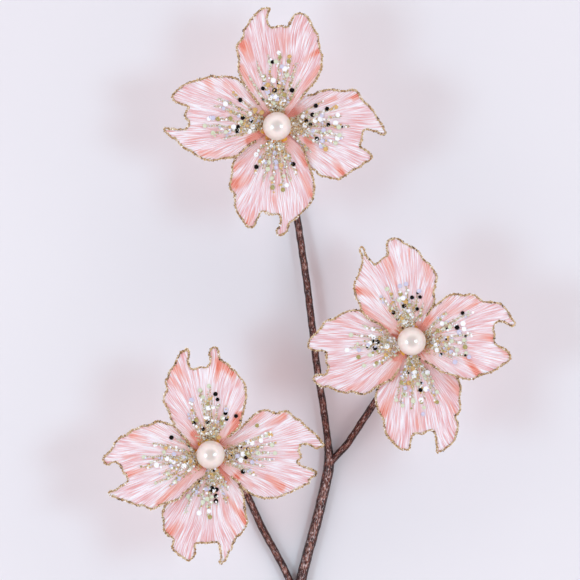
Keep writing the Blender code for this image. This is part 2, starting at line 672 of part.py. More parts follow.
for bloom, (_, petals) in BLOOMS.items():
    centre = centres[bloom]
    pearl_middle = add_pearl(bloom + "_pearl", centre)
    add_calyx(bloom + "_calyx", centre)
    wire = beyond([centre + Vector((0, 0, pearl_middle))] + twigs[bloom][1:] + shared_run(bloom), WIRE_END)
    add_object(bloom + "_wire", tube(bloom, wire, [WIRE_RADIUS] * len(wire), WIRE_ROUNDING), STEEL)
    for side, petal in petals.items():
        name = bloom + "_" + side + "_petal"
        add_petal(name, petal_grid(petal, centre), centre)
        add_glitter_edge(name + "_edge", petal, centre)
        add_glitter_spray(name + "_glitter", petal, centre)

bpy.data.collections.remove(tools)
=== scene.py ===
# %% [markdown]
# # An artificial dogwood spray
#
# Three fabric blooms stand over a pale board. Each has four pleated satin petals with a beaded glitter
# edge, lines of glitter glue with sequins, and a pearl in the middle. A taped wire stem carries them.
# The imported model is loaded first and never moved. Every dressed piece is made in the same frame, over the
# node that it stands for.

# %% Load the frame
import math

import bpy
import numpy as np
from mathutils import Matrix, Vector
from mathutils.geometry import delaunay_2d_cdt


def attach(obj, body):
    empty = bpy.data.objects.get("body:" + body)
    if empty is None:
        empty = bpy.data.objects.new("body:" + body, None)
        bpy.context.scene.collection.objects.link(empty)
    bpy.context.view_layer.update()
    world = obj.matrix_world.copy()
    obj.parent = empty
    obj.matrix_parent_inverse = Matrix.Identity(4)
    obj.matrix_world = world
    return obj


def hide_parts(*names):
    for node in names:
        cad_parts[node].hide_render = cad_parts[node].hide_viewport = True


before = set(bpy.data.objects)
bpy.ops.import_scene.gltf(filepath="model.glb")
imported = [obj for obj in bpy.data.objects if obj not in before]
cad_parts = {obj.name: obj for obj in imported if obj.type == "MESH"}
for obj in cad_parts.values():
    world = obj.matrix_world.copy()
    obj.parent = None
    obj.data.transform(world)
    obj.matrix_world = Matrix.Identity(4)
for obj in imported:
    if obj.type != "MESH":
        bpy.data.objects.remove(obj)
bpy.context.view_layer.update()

MM = 0.001

# %% [markdown]
# ## Camera
#
# The photograph looks straight down. Every reading is a pixel of its 580 by 580 frame, so one function
# turns a pixel and a height into a place. A long lens keeps the blooms' sides hidden, as in the photograph.

# %% The view and its scale
FRAME_PX = 580
PX = 0.5 * MM
BLOOM_PLANE = 49.5 * MM
CAMERA_ABOVE_BLOOMS = 2940 * MM
SENSOR = 36.0
VIEW_X, VIEW_Y = -9.33 * MM, 99.79 * MM
CAMERA_HEIGHT = BLOOM_PLANE + CAMERA_ABOVE_BLOOMS


def in_scene(name, data):
    """A new object in the scene."""
    thing = bpy.data.objects.new(name, data)
    bpy.context.scene.collection.objects.link(thing)
    return thing


def spot(px, py, height=BLOOM_PLANE):
    """The place that a pixel of the view shows at a height above the board."""
    scale = PX * (CAMERA_HEIGHT - height) / CAMERA_ABOVE_BLOOMS
    return VIEW_X + (px - FRAME_PX / 2) * scale, VIEW_Y + (FRAME_PX / 2 - py) * scale


camera_data = bpy.data.cameras.new("camera")
camera_data.sensor_width = SENSOR
camera_data.lens = SENSOR * CAMERA_ABOVE_BLOOMS / (FRAME_PX * PX)
camera = in_scene("camera", camera_data)
camera.location = (VIEW_X, VIEW_Y, CAMERA_HEIGHT)
bpy.context.scene.camera = camera
print("lens in mm:", round(camera_data.lens, 1))

# %% [markdown]
# ## Colours and finishes
#
# A finish is one Principled shader with values of its own, fed by masks that vary over the surface. Two
# effects serve several finishes, so each is a node group: mottle, which is soft noise in the piece's own
# space, and streaks, which is noise stretched along the second axis of the piece's map.

# %% Helpers for finishes
def paint(code):
    """A colour written as in a paint chart, as the linear values that shaders use."""
    parts = [int(code[i:i + 2], 16) / 255 for i in (1, 3, 5)]
    return (*(c / 12.92 if c <= 0.04045 else ((c + 0.055) / 1.055) ** 2.4 for c in parts), 1.0)


def new_material(name, settings):
    """A material, its node tree, and its Principled shader with values for its sockets."""
    material = bpy.data.materials.new(name)
    material.use_nodes = True
    shader = material.node_tree.nodes["Principled BSDF"]
    for socket, value in settings.items():
        shader.inputs[socket].default_value = value
    return material, material.node_tree, shader


def wire(tree, *pairs):
    """Join sockets, each pair as output then input."""
    for start, end in pairs:
        tree.links.new(start, end)


def maths(tree, operation, a, b, clamp=False):
    """One sum of two sockets or numbers."""
    node = tree.nodes.new("ShaderNodeMath")
    node.operation, node.use_clamp = operation, clamp
    for socket, value in zip(node.inputs, (a, b)):
        if isinstance(value, (int, float)):
            socket.default_value = value
        else:
            wire(tree, (value, socket))
    return node.outputs["Value"]


def tint_ramp(tree, value, *stops):
    """Colours along a value, each stop as place and colour."""
    node = tree.nodes.new("ShaderNodeValToRGB")
    elements = node.color_ramp.elements
    while len(elements) < len(stops):
        elements.new(0.5)
    for element, (place, colour) in zip(elements, stops):
        element.position, element.color = place, paint(colour)
    wire(tree, (value, node.inputs["Fac"]))
    return node.outputs["Color"]


def bumped(tree, shader, height, strength, distance):
    """Fine relief from a height."""
    bump = tree.nodes.new("ShaderNodeBump")
    bump.inputs["Strength"].default_value = strength
    bump.inputs["Distance"].default_value = distance
    wire(tree, (height, bump.inputs["Height"]), (bump.outputs["Normal"], shader.inputs["Normal"]))


def attribute(tree, name):
    """A value that the mesh carries."""
    node = tree.nodes.new("ShaderNodeAttribute")
    node.attribute_name = name
    return node.outputs["Fac"]


# %% The two shared effects
def new_group(name, sockets):
    """A shader group with number inputs and one output, and its end nodes."""
    group = bpy.data.node_groups.new(name, "ShaderNodeTree")
    for socket in sockets:
        group.interface.new_socket(socket, in_out="INPUT", socket_type="NodeSocketFloat")
    group.interface.new_socket("Mask", in_out="OUTPUT", socket_type="NodeSocketFloat")
    return group, group.nodes.new("NodeGroupInput"), group.nodes.new("NodeGroupOutput")


def effect(tree, group, *values):
    """A group placed in a material with its own values, as its mask."""
    node = tree.nodes.new("ShaderNodeGroup")
    node.node_tree = group
    for socket, value in zip(node.inputs, values):
        socket.default_value = value
    return node.outputs["Mask"]


MOTTLE, inner, outer = new_group("mottle", ("Scale", "Detail"))
where = MOTTLE.nodes.new("ShaderNodeTexCoord")
noise = MOTTLE.nodes.new("ShaderNodeTexNoise")
wire(MOTTLE, (where.outputs["Object"], noise.inputs["Vector"]),
     (inner.outputs["Scale"], noise.inputs["Scale"]), (inner.outputs["Detail"], noise.inputs["Detail"]),
     (noise.outputs["Fac"], outer.inputs["Mask"]))

STREAK_DETAIL = 3.0
STREAKS, inner, outer = new_group("streaks", ("Across", "Along", "Contrast"))
place = STREAKS.nodes.new("ShaderNodeUVMap")
place.uv_map = "lie"
stretch = STREAKS.nodes.new("ShaderNodeCombineXYZ")
scaled = STREAKS.nodes.new("ShaderNodeVectorMath")
scaled.operation = "MULTIPLY"
noise = STREAKS.nodes.new("ShaderNodeTexNoise")
noise.inputs["Scale"].default_value = 1.0
noise.inputs["Detail"].default_value = STREAK_DETAIL
wire(STREAKS, (inner.outputs["Across"], stretch.inputs["X"]), (inner.outputs["Along"], stretch.inputs["Y"]),
     (place.outputs["UV"], scaled.inputs[0]), (stretch.outputs["Vector"], scaled.inputs[1]),
     (scaled.outputs["Vector"], noise.inputs["Vector"]))
centred = maths(STREAKS, "SUBTRACT", noise.outputs["Fac"], 0.5)
wire(STREAKS, (maths(STREAKS, "MULTIPLY", centred, inner.outputs["Contrast"]), outer.inputs["Mask"]))
print("effects:", MOTTLE.name, STREAKS.name)

# %% [markdown]
# ## Board and light
#
# The board is a plain pale grey that the light turns lavender white. Two soft boxes stand left and right,
# high enough that the pearl shows each as a bright patch near its middle. The room fills the shadows. It is
# brighter at the sides than overhead, so that the board isn't dark under the blooms, and a little pink
# beside the cooler boxes, because the photograph's shadows are pink.

# %% Board
BOARD_SIDE = 6.0
MOTTLE_DETAIL = 2.0


def mesh_of(name, corners, faces, smooth=True):
    """A mesh from corners and faces."""
    mesh = bpy.data.meshes.new(name)
    mesh.from_pydata(np.asarray(corners, float).tolist(), [], faces)
    mesh.polygons.foreach_set("use_smooth", np.full(len(mesh.polygons), smooth))
    return mesh


half = BOARD_SIDE / 2
board_corners = [(-half, -half, 0), (half, -half, 0), (half, half, 0), (-half, half, 0)]
board = in_scene("board", mesh_of("board", board_corners, [(0, 1, 2, 3)]))
board_paint, tree, shader = new_material("board_paint", {"Roughness": 0.8, "Specular IOR Level": 0.1})
tone = effect(tree, MOTTLE, 6.0, MOTTLE_DETAIL)
wire(tree, (tint_ramp(tree, tone, (0.0, "#E8E6E9"), (1.0, "#ECEBED")), shader.inputs["Base Color"]))
board.data.materials.append(board_paint)

# %% Lights
# Towards each soft box from the blooms, read from where their shadows fall on the board
SOFT_BOXES = ((-41.0, -8.0, 49.5), (33.0, 0.0, 49.5))
SOFT_BOX_AWAY = 1.8
SOFT_BOX_SIDE = 0.46
SOFT_BOX_WATTS = 7.3
SOFT_BOX_COLOUR = (0.60, 0.87, 1.0)
# The room's brightness from the board's level up to overhead
ROOM_TONES = ((0.0, "#F7E9EA"), (0.08, "#F7E9EA"), (0.18, "#7B7475"), (0.36, "#F7E9EC"), (0.62, "#D7CACE"),
              (0.8, "#716A6C"), (1.0, "#514B4D"))
ROOM_STRENGTH = 1.95

for toward in SOFT_BOXES:
    lamp_data = bpy.data.lights.new("soft_box", "AREA")
    lamp_data.shape = "SQUARE"
    lamp_data.size = SOFT_BOX_SIDE
    lamp_data.energy = SOFT_BOX_WATTS
    lamp_data.color = SOFT_BOX_COLOUR
    lamp = in_scene("soft_box", lamp_data)
    away = Vector(toward).normalized() * SOFT_BOX_AWAY
    lamp.location = Vector((VIEW_X, VIEW_Y, 0)) + away
    lamp.rotation_euler = (-away).to_track_quat("-Z", "Y").to_euler()

room = bpy.data.worlds.new("room")
room.use_nodes = True
tree = room.node_tree
backdrop = tree.nodes["Background"]
where = tree.nodes.new("ShaderNodeTexCoord")
split = tree.nodes.new("ShaderNodeSeparateXYZ")
wire(tree, (where.outputs["Generated"], split.inputs["Vector"]),
     (tint_ramp(tree, split.outputs["Z"], *ROOM_TONES), backdrop.inputs["Color"]))
backdrop.inputs["Strength"].default_value = ROOM_STRENGTH
bpy.context.scene.world = room
bpy.context.scene.view_settings.view_transform = "Standard"
print("soft boxes:", len(SOFT_BOXES))

# %% [markdown]
# ## Petals
#
# Each petal is one piece of satin, heat pressed into fine pleats that spread from the root, with a notch
# at its tip. Its outline is read point by point from the photograph. A Delaunay net fills the outline,
# with its points in rings round the pearl, so that the pleats run along its columns and any outline works.

# %% Bloom centres and the stack of each bloom
CENTRES = {"top_bloom": (277.0, 126.3), "right_bloom": (411.6, 341.2), "left_bloom": (210.8, 454.5)}
# Each petal: its level in the stack, the bearings of its root's sides, how far its tip lifts in mm,
# and how far from the pearl's middle its edge bead starts on either side in mm
STACK = {
    "top_bloom_upper": (3, (49, 129), 0.5, (18, 14)),
    "top_bloom_left": (2, (129, 214), -0.5, (24, 13)),
    "top_bloom_lower": (1, (214, 319), 0.8, (25, 16)),
    "top_bloom_right": (0, (319, 409), -0.6, (26, 22)),
    "right_bloom_upper": (2, (60, 158), 0.0, (19, 12)),
    "right_bloom_left": (1, (158, 245), 1.0, (28, 15)),
    "right_bloom_lower": (0, (245, 299), -0.8, (28, 28)),
    "right_bloom_right": (3, (299, 420), 0.6, (12, 15)),
    "left_bloom_upper": (3, (48, 152), 0.4, (12, 12)),
    "left_bloom_left": (2, (152, 253), -0.3, (22, 13)),
    "left_bloom_lower": (0, (253, 308), -0.5, (31, 22)),
    "left_bloom_right": (1, (308, 408), 0.7, (15, 20)),
}

# %% Outlines, in pixels of the view
OUTLINES = {
    "top_bloom_upper": """256,100 247,88 242,80 240,75 238.5,70 238.5,66 239,60 238,53 236.5,47 238,44
        241,40 244,35 244,31 247,26 250,21 254,16 258,12 262,9 268,8 269,10 267,15 267,20 268,24 270,27
        274,27.5 280,26 287,27 290,23 293,17 296,14 301,13.5 306,16 309,20 312,26 315,31 318,36 318.5,42
        320,50 322,56 321.5,62 321.5,68 320,71 317,78 313,84 309,88 306,91.5 299,100.5""",
    "top_bloom_left": """252,93.5 247,88 243,84 238,79.5 232,77.5 225,76.5 217,77 212,76 206,78 200,79.5
        195,81 190,82.5 184,85 179,89 175,92 172.5,97 175,101 180,103.5 185,105 189,107 187,111 185.5,114
        186,118 189,121 189,125 186,129 182,129.5 176,129.5 170,129 166,128 164,129.5 167,133 171,137
        176,139 179,143 182,146 186,149 191,151 196,155 202,158 208,160 215,160 220,159 226,158 231,157.5
        236,156 240,153.5 244,149.5 248,146 252,143 256,141""",
    "top_bloom_lower": """241,148 236,158 234,162 232.5,167 232,174 231,180 230,185 231,190 234,193 235,200
        235,205 236.5,210 239,215 243,220 246,225 250,227.5 254,226 256,221 258,217 260,213 263,211 267,213
        272,214.5 278,214 280,216 281,221 280,226 277,230 278,235 283,234 287,231 288,227 289,223 292,221
        296,218 300,214 304,210 309,205 312,200 313.5,195 314,190 314,184 313,178 311,171 309,165 307,160
        306,156 304,151 300,146""",
    "top_bloom_right": """296,100 305,96 314,94.5 318,92.5 322,91 326,90 332,89.5 340,91 346,91 352,90
        357,91.5 360,97 364,102 368,105 373,111 376,116 379,121 382,125 384,130 386,133 382,134.5 378,132
        372,130.5 367,129 363,131 362,136 361.5,140 360,145 360,147 364,149.5 368,152 371,155 371.5,158
        369,160.5 364,163 360,167 355,169 350,172 346,175 342,177.5 338,179 333,178 328,177 322,176
        318,173.5 315,170 306,166 299,155""",
    "right_bloom_upper": """389,334 385,329 379,324 373,321 368,318 364,314 362,311 360.5,307 359.5,303
        356.5,298 355,293 354.3,288 354.5,283 356.5,279 358.5,275 360.3,270 361.5,266 362.6,261.5 362,256
        359.8,250 361,247 363.6,248.6 365.3,254.5 369,259.5 372,262 375,264.8 378,263 381,260 384,257.5
        387,256 387.5,252 387,247 387.5,242 389,240 392,239 396,238.5 401,240.5 403,243 407,244.5 411,247
        415,248.5 418.5,252 421,255.5 423,259 426,261.5 429.5,264.5 432,268 434.5,272 436.5,276 436,281
        435,286 434,290 433.5,294 434.5,298 434,302 432,308 428.5,313 424,315""",
    "right_bloom_right": """427,315 431,309 434,305.5 437,304.5 441,301.5 444.5,298.5 449,295.5 455,294
        459,294.5 464,295.5 470,294.5 475,295.5 479,299 483,301.5 488,302 493,302.5 499,303.5 503,306
        506.5,310 509,314 511.5,318 513.5,321 515,323.5 512.5,326 508,324 504,322 500,321 496.5,322
        494,325.5 493,329.5 494.5,334.5 494,339 494.5,343 498,346 503,348.5 507,351 509.5,354 510,358
        508,361.5 504,363.5 500.5,366 496.5,369 492,371.5 486,373.5 481,374.5 476,377.5 471,379 465.5,378.5
        461,377.5 456,375.5 451,374.5 446,373 441,371.5 437,368.5 434,366.5 430.5,364""",
    "right_bloom_lower": """390,371 381.5,380 378,389 376.5,393 376,400 377,406 378.5,411 381.5,416 384,420
        384.5,426 385,431 387,435 390,438.5 393,442 397,446 401,449 405,449.5 408.5,449.5 410,446 410.5,441
        411.5,437 413.5,434.5 417,433 421,434 424,432.5 428,430.5 432,430 435,433 436,437 436.5,442 437,447
        437,452.5 440,451 444,449.5 448,446.5 452,443 455,439 456,434 457.5,430 457.8,426 457,421.5 455,417
        457,414.5 460,410.5 460,405 459.5,399 460,393 461,388 459,382 457.5,379 452,369.5 441,364.5""",
    "right_bloom_left": """381,322.5 370,314 362,311.5 358,310.5 353,310.3 348,311.5 343,313.5 338,316
        334,319 330,320 326,321 323.5,324 320.5,328.5 317,332.5 313,336 310.5,339 308.5,343 308.5,346.5
        311.5,349 316,350.5 321,350.5 326,352 326.5,357 326.5,362 328.5,366 328,370.5 326,374.5 322,375
        317,375 313.5,378 315,381.5 319,385 322.5,387 328,386 332,388 337,391 343,392 346,393 351,391.5
        355,392 359,394 364,394 369,392 372.5,389.5 376,387 380,385 384,383 389,380.5 393,378 401,365""",
    "left_bloom_upper": """186,439 181,434 178,430.5 175,426.5 173,422 170.5,417.5 169.5,413 167.5,408
        165,404 163.8,400 164.5,394.5 167.5,390 166.5,385 166,380.5 168.5,377 169,373.5 171,369.5 174.5,365
        176.5,360 179,355.5 181,352.5 185,350.5 187,349 189,352 188.5,357 188,362 189.5,366.5 191.5,369
        194,369.5 198,368 202,367 206,367.5 210,364 210.5,359 209.5,354 210,351 212,348.5 214.5,347
        217.5,349.5 218.5,353 219.3,358.5 223,361.5 227,364 230,367 232.5,370 236,372 238,375.5 241,379
        243.5,382 245,386 245.5,391 246,396 245.5,401 244.5,405 243.5,410 242.5,415 241,420 240,425 237,430
        233.5,432.5""",
    "left_bloom_right": """236,433 241,428 243,426 247,422 250.5,418.5 254,415 258,412 263,410.5 268,410.5
        273,412.5 277,413.5 281,412 286,411 290,413 292.5,416 296,419 300,420 303,424 307,427.5 310.5,430.5
        314,433 317,436 319.5,439.5 322,442.5 323.5,446 320,447 315.5,448 311.5,445.5 307,444 302,444
        300,446 298.5,450 300.5,455 300.5,458 297,461 299,464 302.5,466.5 307,468 312,470 315.5,471.5
        316.5,474 313,476.5 309,480 309,483 305,484.5 300,487.5 295,489.5 291,492 285,494 280,496.5
        275,497.5 268,498 262,497.5 256,496 252,494 248,491.5 244,488.5 240,484 237.5,481.5""",
    "left_bloom_lower": """190,481 180,489.5 172,498 168,503 165,506 163.5,510 162.5,515 163.5,520 164,526
        164.5,531 168,535 172,537.5 174,540 172.5,545 173,549 176.5,552.5 181,556 185.5,559 188.5,560.5
        192,558 194.5,554 195,549 194.5,545.5 197,543 202,542.5 207,543 212,542 216,542 219,543.5 220,548
        221,553 221,558 220,563 223,562 226,559 228,554 229,551 231.5,549 232,545 234,541 236,537 240,534.5
        243,531 245.5,526.5 247.5,522 246.5,517 245,511 244.5,505 243.5,498 242.5,493 241,489 238,484
        237,479""",
    "left_bloom_left": """184,433 173,426 170,425 165,423 160,421.5 156,422 152,424 147,426 142,426
        138,428.5 133,430 129,433 126,435.5 121,437 118,440 115,443 113.5,446 111.5,450 108.5,453 106,455
        103.5,458 103.5,461 107.5,465 110.5,463 115,462 118.5,463.5 121.5,467 123.5,472 127,477 128,480
        126,483 121.5,486 117.5,489 113,491 109,492 110,495 115,497 120,499 124,500 128,501.5 133,503.5
        138,505.5 143,505 148,507.5 152,509 157,507 162,504 167,502.5 172,501 177,499.5 181,497 185,492
        190,488.5 198,480.5""",
}


def readings(text):
    """Numbers of a table, one row for each word or for each part between semicolons."""
    rows = text.split(";") if ";" in text else text.split()
    return [tuple(float(v) for v in row.replace(",", " ").split()) for row in rows if row.strip()]


print("petals:", len(OUTLINES), " outline points:", sum(len(readings(o)) for o in OUTLINES.values()))

# %% [markdown]
# The height of a blade follows the frame: it climbs over the petals under it near the pearl, rises a
# little outward, and ends free. Smooth random fields then wave it, and pleats ride on top. One function
# gives the height anywhere, so that beads, grains and sequins can be set on the same surface.

# %% The blade's height
ROOT_RADIUS = 3.0 * MM
FREE_RADIUS = 10.5 * MM
ROOT_HEIGHT = 46.6 * MM
LEVEL_STEP = 1.4 * MM
TIP_LEVEL_SHARE = 0.3
LEVEL_FADE = (34 * MM, 52 * MM)
RISE, RISE_SPAN, TIP_SPAN = 3.0 * MM, (6 * MM, 30 * MM), (30 * MM, 58 * MM)
PLEAT_PITCH = 1.25 * MM
PLEAT_AT = (22 * MM, 44 * MM)
PLEAT_DEPTH = 0.20 * MM
WAVE_HEIGHT = 0.55 * MM
FOLD_DEPTH = 0.35 * MM
FIELD_CELLS = 64


def smooth(span, value):
    """A soft step from 0 to 1 across a span."""
    t = np.clip((value - span[0]) / (span[1] - span[0]), 0, 1)
    return t * t * (3 - 2 * t)


def field(seed, u, v):
    """A smooth random field from -1 to 1 over a plane, with hills about one unit wide."""
    table = np.random.RandomState(seed).uniform(-1, 1, (FIELD_CELLS, FIELD_CELLS))
    i, j = np.floor(u).astype(int), np.floor(v).astype(int)
    fu, fv = u - i, v - j
    fu, fv = fu * fu * (3 - 2 * fu), fv * fv * (3 - 2 * fv)
    corner = [table[(i + a) % FIELD_CELLS, (j + b) % FIELD_CELLS]
              for a, b in ((0, 0), (1, 0), (0, 1), (1, 1))]
    return (corner[0] * (1 - fu) + corner[1] * fu) * (1 - fv) + (corner[2] * (1 - fu) + corner[3] * fu) * fv


class Blade:
    """One petal's place, bearings and folds, and the heights that follow from them."""

    def __init__(self, name, seed):
        self.name, self.seed = name, seed
        self.level, roots, lift, self.bead_from = STACK[name]
        self.lift = lift * MM
        self.roots = [math.radians(b) for b in roots]
        self.half = (self.roots[1] - self.roots[0]) / 2
        self.middle = sum(self.roots) / 2
        self.centre = np.array(spot(*CENTRES[name.rsplit("_", 1)[0]]))
        self.folds = [(*self.place((x0, y0)), *self.place((x1, y1)), width * PX, strength)
                      for x0, y0, x1, y1, width, strength in readings(FOLDS[name])]

    def polar(self, xy):
        """Bearing from the petal's middle line, and distance from the pearl's axis."""
        dx, dy = xy[..., 0] - self.centre[0], xy[..., 1] - self.centre[1]
        turn = np.arctan2(dy, dx) - self.middle
        return (turn + math.pi) % (2 * math.pi) - math.pi, np.hypot(dx, dy)

    def at(self, bearing, distance):
        """Points at bearings from the petal's middle line and distances from the axis."""
        angle = bearing + self.middle
        x, y = self.centre
        return np.stack([x + distance * np.cos(angle), y + distance * np.sin(angle)], -1)

    def calm(self, distance):
        """Height of the blade before it is waved and pleated."""
        kept = 1 - (1 - TIP_LEVEL_SHARE) * smooth(LEVEL_FADE, distance)
        over = self.level * LEVEL_STEP * np.clip((distance - ROOT_RADIUS) / (FREE_RADIUS - ROOT_RADIUS), 0, 1)
        rise = RISE * smooth(RISE_SPAN, distance)
        return ROOT_HEIGHT + over * kept + rise + self.lift * smooth(TIP_SPAN, distance)

    def place(self, px):
        """A pixel of the view as a point on the calm blade."""
        first = np.array(spot(*px))
        return np.array(spot(*px, float(self.calm(np.hypot(*(first - self.centre))))))

    def fold_at(self, xy):
        """How deep in a fold each point lies, from -1 on a ridge to 1 in a groove."""
        depth = np.zeros(xy.shape[:-1])
        for x0, y0, x1, y1, width, strength in self.folds:
            ax, ay = x1 - x0, y1 - y0
            along = np.clip(((xy[..., 0] - x0) * ax + (xy[..., 1] - y0) * ay) / (ax * ax + ay * ay), 0, 1)
            away = np.hypot(xy[..., 0] - x0 - along * ax, xy[..., 1] - y0 - along * ay)
            depth += strength * (1 - 0.55 * along) * np.exp(-((away / width) ** 4))
        return depth

    def pleats(self, bearing, distance):
        """Pleat height from 0 in a valley to 1 on a crest. Each pleat splits in two further out."""
        q = bearing * PLEAT_AT[0] / PLEAT_PITCH
        wander = 0.9 * field(self.seed, q * 0.33, distance / (11 * MM))
        split = 0.8 * field(self.seed + 1, q * 0.7, distance / (9 * MM))
        fine = np.abs(np.sin(math.pi * (q + wander)))
        finer = np.abs(np.sin(math.pi * (2 * q + wander + split)))
        share = smooth(PLEAT_AT, distance)
        return fine * (1 - share) + finer * share

    def surface(self, xy):
        """Height, crest, and fold depth at points."""
        bearing, distance = self.polar(xy)
        crest = self.pleats(bearing, distance)
        swell = 0.65 + 0.35 * field(self.seed + 2, bearing * 9, distance / (14 * MM))
        grown = smooth((7 * MM, 20 * MM), distance)
        wave = field(self.seed + 3, bearing * 5.5, distance / (26 * MM))
        wave = wave * smooth((12 * MM, 34 * MM), distance)
        fold = self.fold_at(xy)
        height = self.calm(distance) + WAVE_HEIGHT * wave
        height = height + PLEAT_DEPTH * (crest - 0.6) * swell * (0.25 + 0.75 * grown) - FOLD_DEPTH * fold
        return height, crest, fold


# %% [markdown]
# A few deeper folds are painted coral and darker, a painted shade. Each is a line from where it is deepest to
# where it fades, with its width in pixels and its depth. A negative depth is a ridge, which stands up and is
# painted paler, a painted highlight.

# %% Folds, as from, to, width and depth
FOLDS = {
    "top_bloom_upper": """243,44 250,58 5 0.8; 241,67 252,89 3.5 0.6; 320.5,49.5 305,60 3.2 0.75; 319,68
        303,91 3.5 0.5; 283,40 282,56 8 0.3; 252,31 261,61 4 -0.5; 305,34 294,52 3.5 -0.5; 312,60 299,82 3
        -0.4; 290,100 296,90 4 0.3""",
    "top_bloom_left": """208,81 212,92 4 0.5; 201,153 224,155 4 0.55; 250,141 261,134 5 0.7; 226,84 240,95 4
        0.35; 196,97 214,101 5 -0.4; 200,146 222,143 4 -0.3; 190,137 205,140 3 0.25""",
    "top_bloom_lower": """235,184 246,180 6 0.75; 234,168 243,161 4 0.5; 311.5,195 302,176 3.5 0.65; 247,224
        252,214 4 0.6; 274,198 276,211 4 0.3; 307,164 300,150 4 0.6; 252,190 263,170 4 -0.5; 295,200 290,182
        4 -0.4; 240,200 252,184 3 -0.4""",
    "top_bloom_right": """357,96 342,104 3 0.85; 342,173 335,162 4 0.8; 335,98 318,103 3 0.4; 294,112
        301,108 5 0.4; 308,138 313,156 5 0.6; 350,101 330,106 2.5 -0.5; 345,155 325,146 4 -0.35""",
    "right_bloom_upper": """358,291 374,294 5 0.75; 387,260 394,281 5 0.5; 426,263 428,279 4 0.6; 362,309
        388,330 4 0.55; 409,250 412,268 2.5 0.35; 366,279 388,301 4 -0.4; 398,250 403,275 5 -0.6; 430,290
        421,311 3.5 0.4; 362,298 380,306 3 -0.5""",
    "right_bloom_right": """470,295 482,301 4 0.5; 476,305 449,313 3 0.6; 477.5,373 466,359 3.5 0.95;
        494,338 472,335 4 0.6; 507,353 500,347 4 0.5; 422,325 430,318 4 0.7; 452,297 440,311 3.5 0.35;
        485,305 462,313 2.5 -0.5; 487,361 468,347 4 -0.4""",
    "right_bloom_lower": """382,414 391,399 5.5 0.75; 460,393 447,377 4.5 0.6; 455,412 444,396 3 0.45;
        419,426 418,412 5 0.35; 392,440 396,431 4 0.35; 391,378 399,372 4 0.5; 401,425 407,401 4 -0.5;
        437,425 431,405 4 -0.5; 447,440 439,424 3 -0.4""",
    "right_bloom_left": """350,390 362,384 4 0.5; 382,383 402,363 4.5 0.55; 395,356 404,349 5 0.9; 336,320
        348,324 4 0.3; 395,335 402,338 4 0.5; 340,383 360,372 4 -0.35; 330,379 345,372 3 0.2""",
    "left_bloom_upper": """174,367 184,378 6 0.7; 221,361 231,371 6 1.0; 219,366 216,380 3.5 0.8; 168,378
        182,391 3.5 0.5; 240,416 229,443 5 1.25; 194,434 203,443 4 0.6; 231,372 237,384 4 0.4; 209,371
        206,386 5 -0.5; 236,390 228,408 3 -0.4""",
    "left_bloom_right": """284,416 268,425 3.5 0.6; 282,487 269,478 4.5 0.75; 262,413 249,424 3 0.4; 236,478
        242,470 4 0.6; 296,424 279,430 3 -0.3; 262,488 250,478 4 -0.45; 252,485 243,474 3 0.35""",
    "left_bloom_lower": """167,534 179,525 6 0.65; 176,500 181,495 4 0.4; 246.5,522 228,497 3.5 0.85;
        222,469 227,481 5 0.95; 236,537 224,512 2.5 0.45; 194,484 200,479 3 0.4; 186,520 193,503 5 -0.4;
        226,531 219,509 2.5 -0.5; 240,506 228,488 3 -0.4""",
    "left_bloom_left": """133,436 143,440 4.5 0.6; 183,431 191,446 4 0.55; 127,475 144,469 3.5 0.7; 159,504
        188,475 4 0.65; 150,427 160,432 4 0.3; 196,466 202,463 4 0.6; 150,488 168,478 4 -0.4; 124,456
        141,459 3 0.25""",
}
blades = {name: Blade(name, 11 + 10 * k) for k, name in enumerate(OUTLINES)}
print("folds:", sum(len(b.folds) for b in blades.values()))

# %% [markdown]
# The outline becomes a smooth curve, joined to the root that hides under the pearl. Inside it, net
# points stand in rings, closer together than the pleats are wide.

# %% The satin's net
RIM_STEP = 0.45 * MM
RIM_CLEAR = 0.3 * MM
RING_STEP = 0.8 * MM
COLUMN_ARC, COLUMN_ARC_AT = 0.25 * MM, 30 * MM
COLUMNS_HALVE_UNDER = (9 * MM, 18 * MM)
ROOT_POINTS = 14
CURVE_POINTS = 6


def curved(points, step):
    """A curve through points, with its own points a step apart."""
    ends = [2 * points[0] - points[1], *points, 2 * points[-1] - points[-2]]
    fine = []
    for a, b, c, d in zip(ends, ends[1:], ends[2:], ends[3:]):
        for t in np.linspace(0, 1, CURVE_POINTS, endpoint=False):
            fine.append(0.5 * (2 * b + (c - a) * t + (2 * a - 5 * b + 4 * c - d) * t * t
                               + (3 * b - a - 3 * c + d) * t ** 3))
    fine.append(points[-1])
    fine = np.array(fine)
    lengths = np.concatenate([[0], np.cumsum(np.linalg.norm(np.diff(fine, axis=0), axis=1))])
    stops = np.linspace(0, lengths[-1], max(int(lengths[-1] / step), 2) + 1)
    return np.stack([np.interp(stops, lengths, fine[:, k]) for k in range(fine.shape[1])], -1)


def outline_of(blade):
    """The petal's outer line, anticlockwise, from its root's first side to its second."""
    line = [blade.place(p) for p in readings(OUTLINES[blade.name])]
    ends = blade.polar(np.array([line[0], line[-1]]))[0]
    if ends[0] > ends[1]:
        line.reverse()
    start, end = (blade.at(np.array(turn), FREE_RADIUS) for turn in (-blade.half, blade.half))
    return curved([start, *line, end], RIM_STEP)


def inside(polygon, points):
    """Which points lie inside a polygon."""
    x, y = points[:, 0], points[:, 1]
    found = np.zeros(len(points), bool)
    for (x0, y0), (x1, y1) in zip(polygon, np.roll(polygon, -1, axis=0)):
        if y0 != y1:
            cross = (x1 - x0) * (y - y0) / (y1 - y0) + x0
            found ^= ((y0 > y) != (y1 > y)) & (x < cross)
    return found


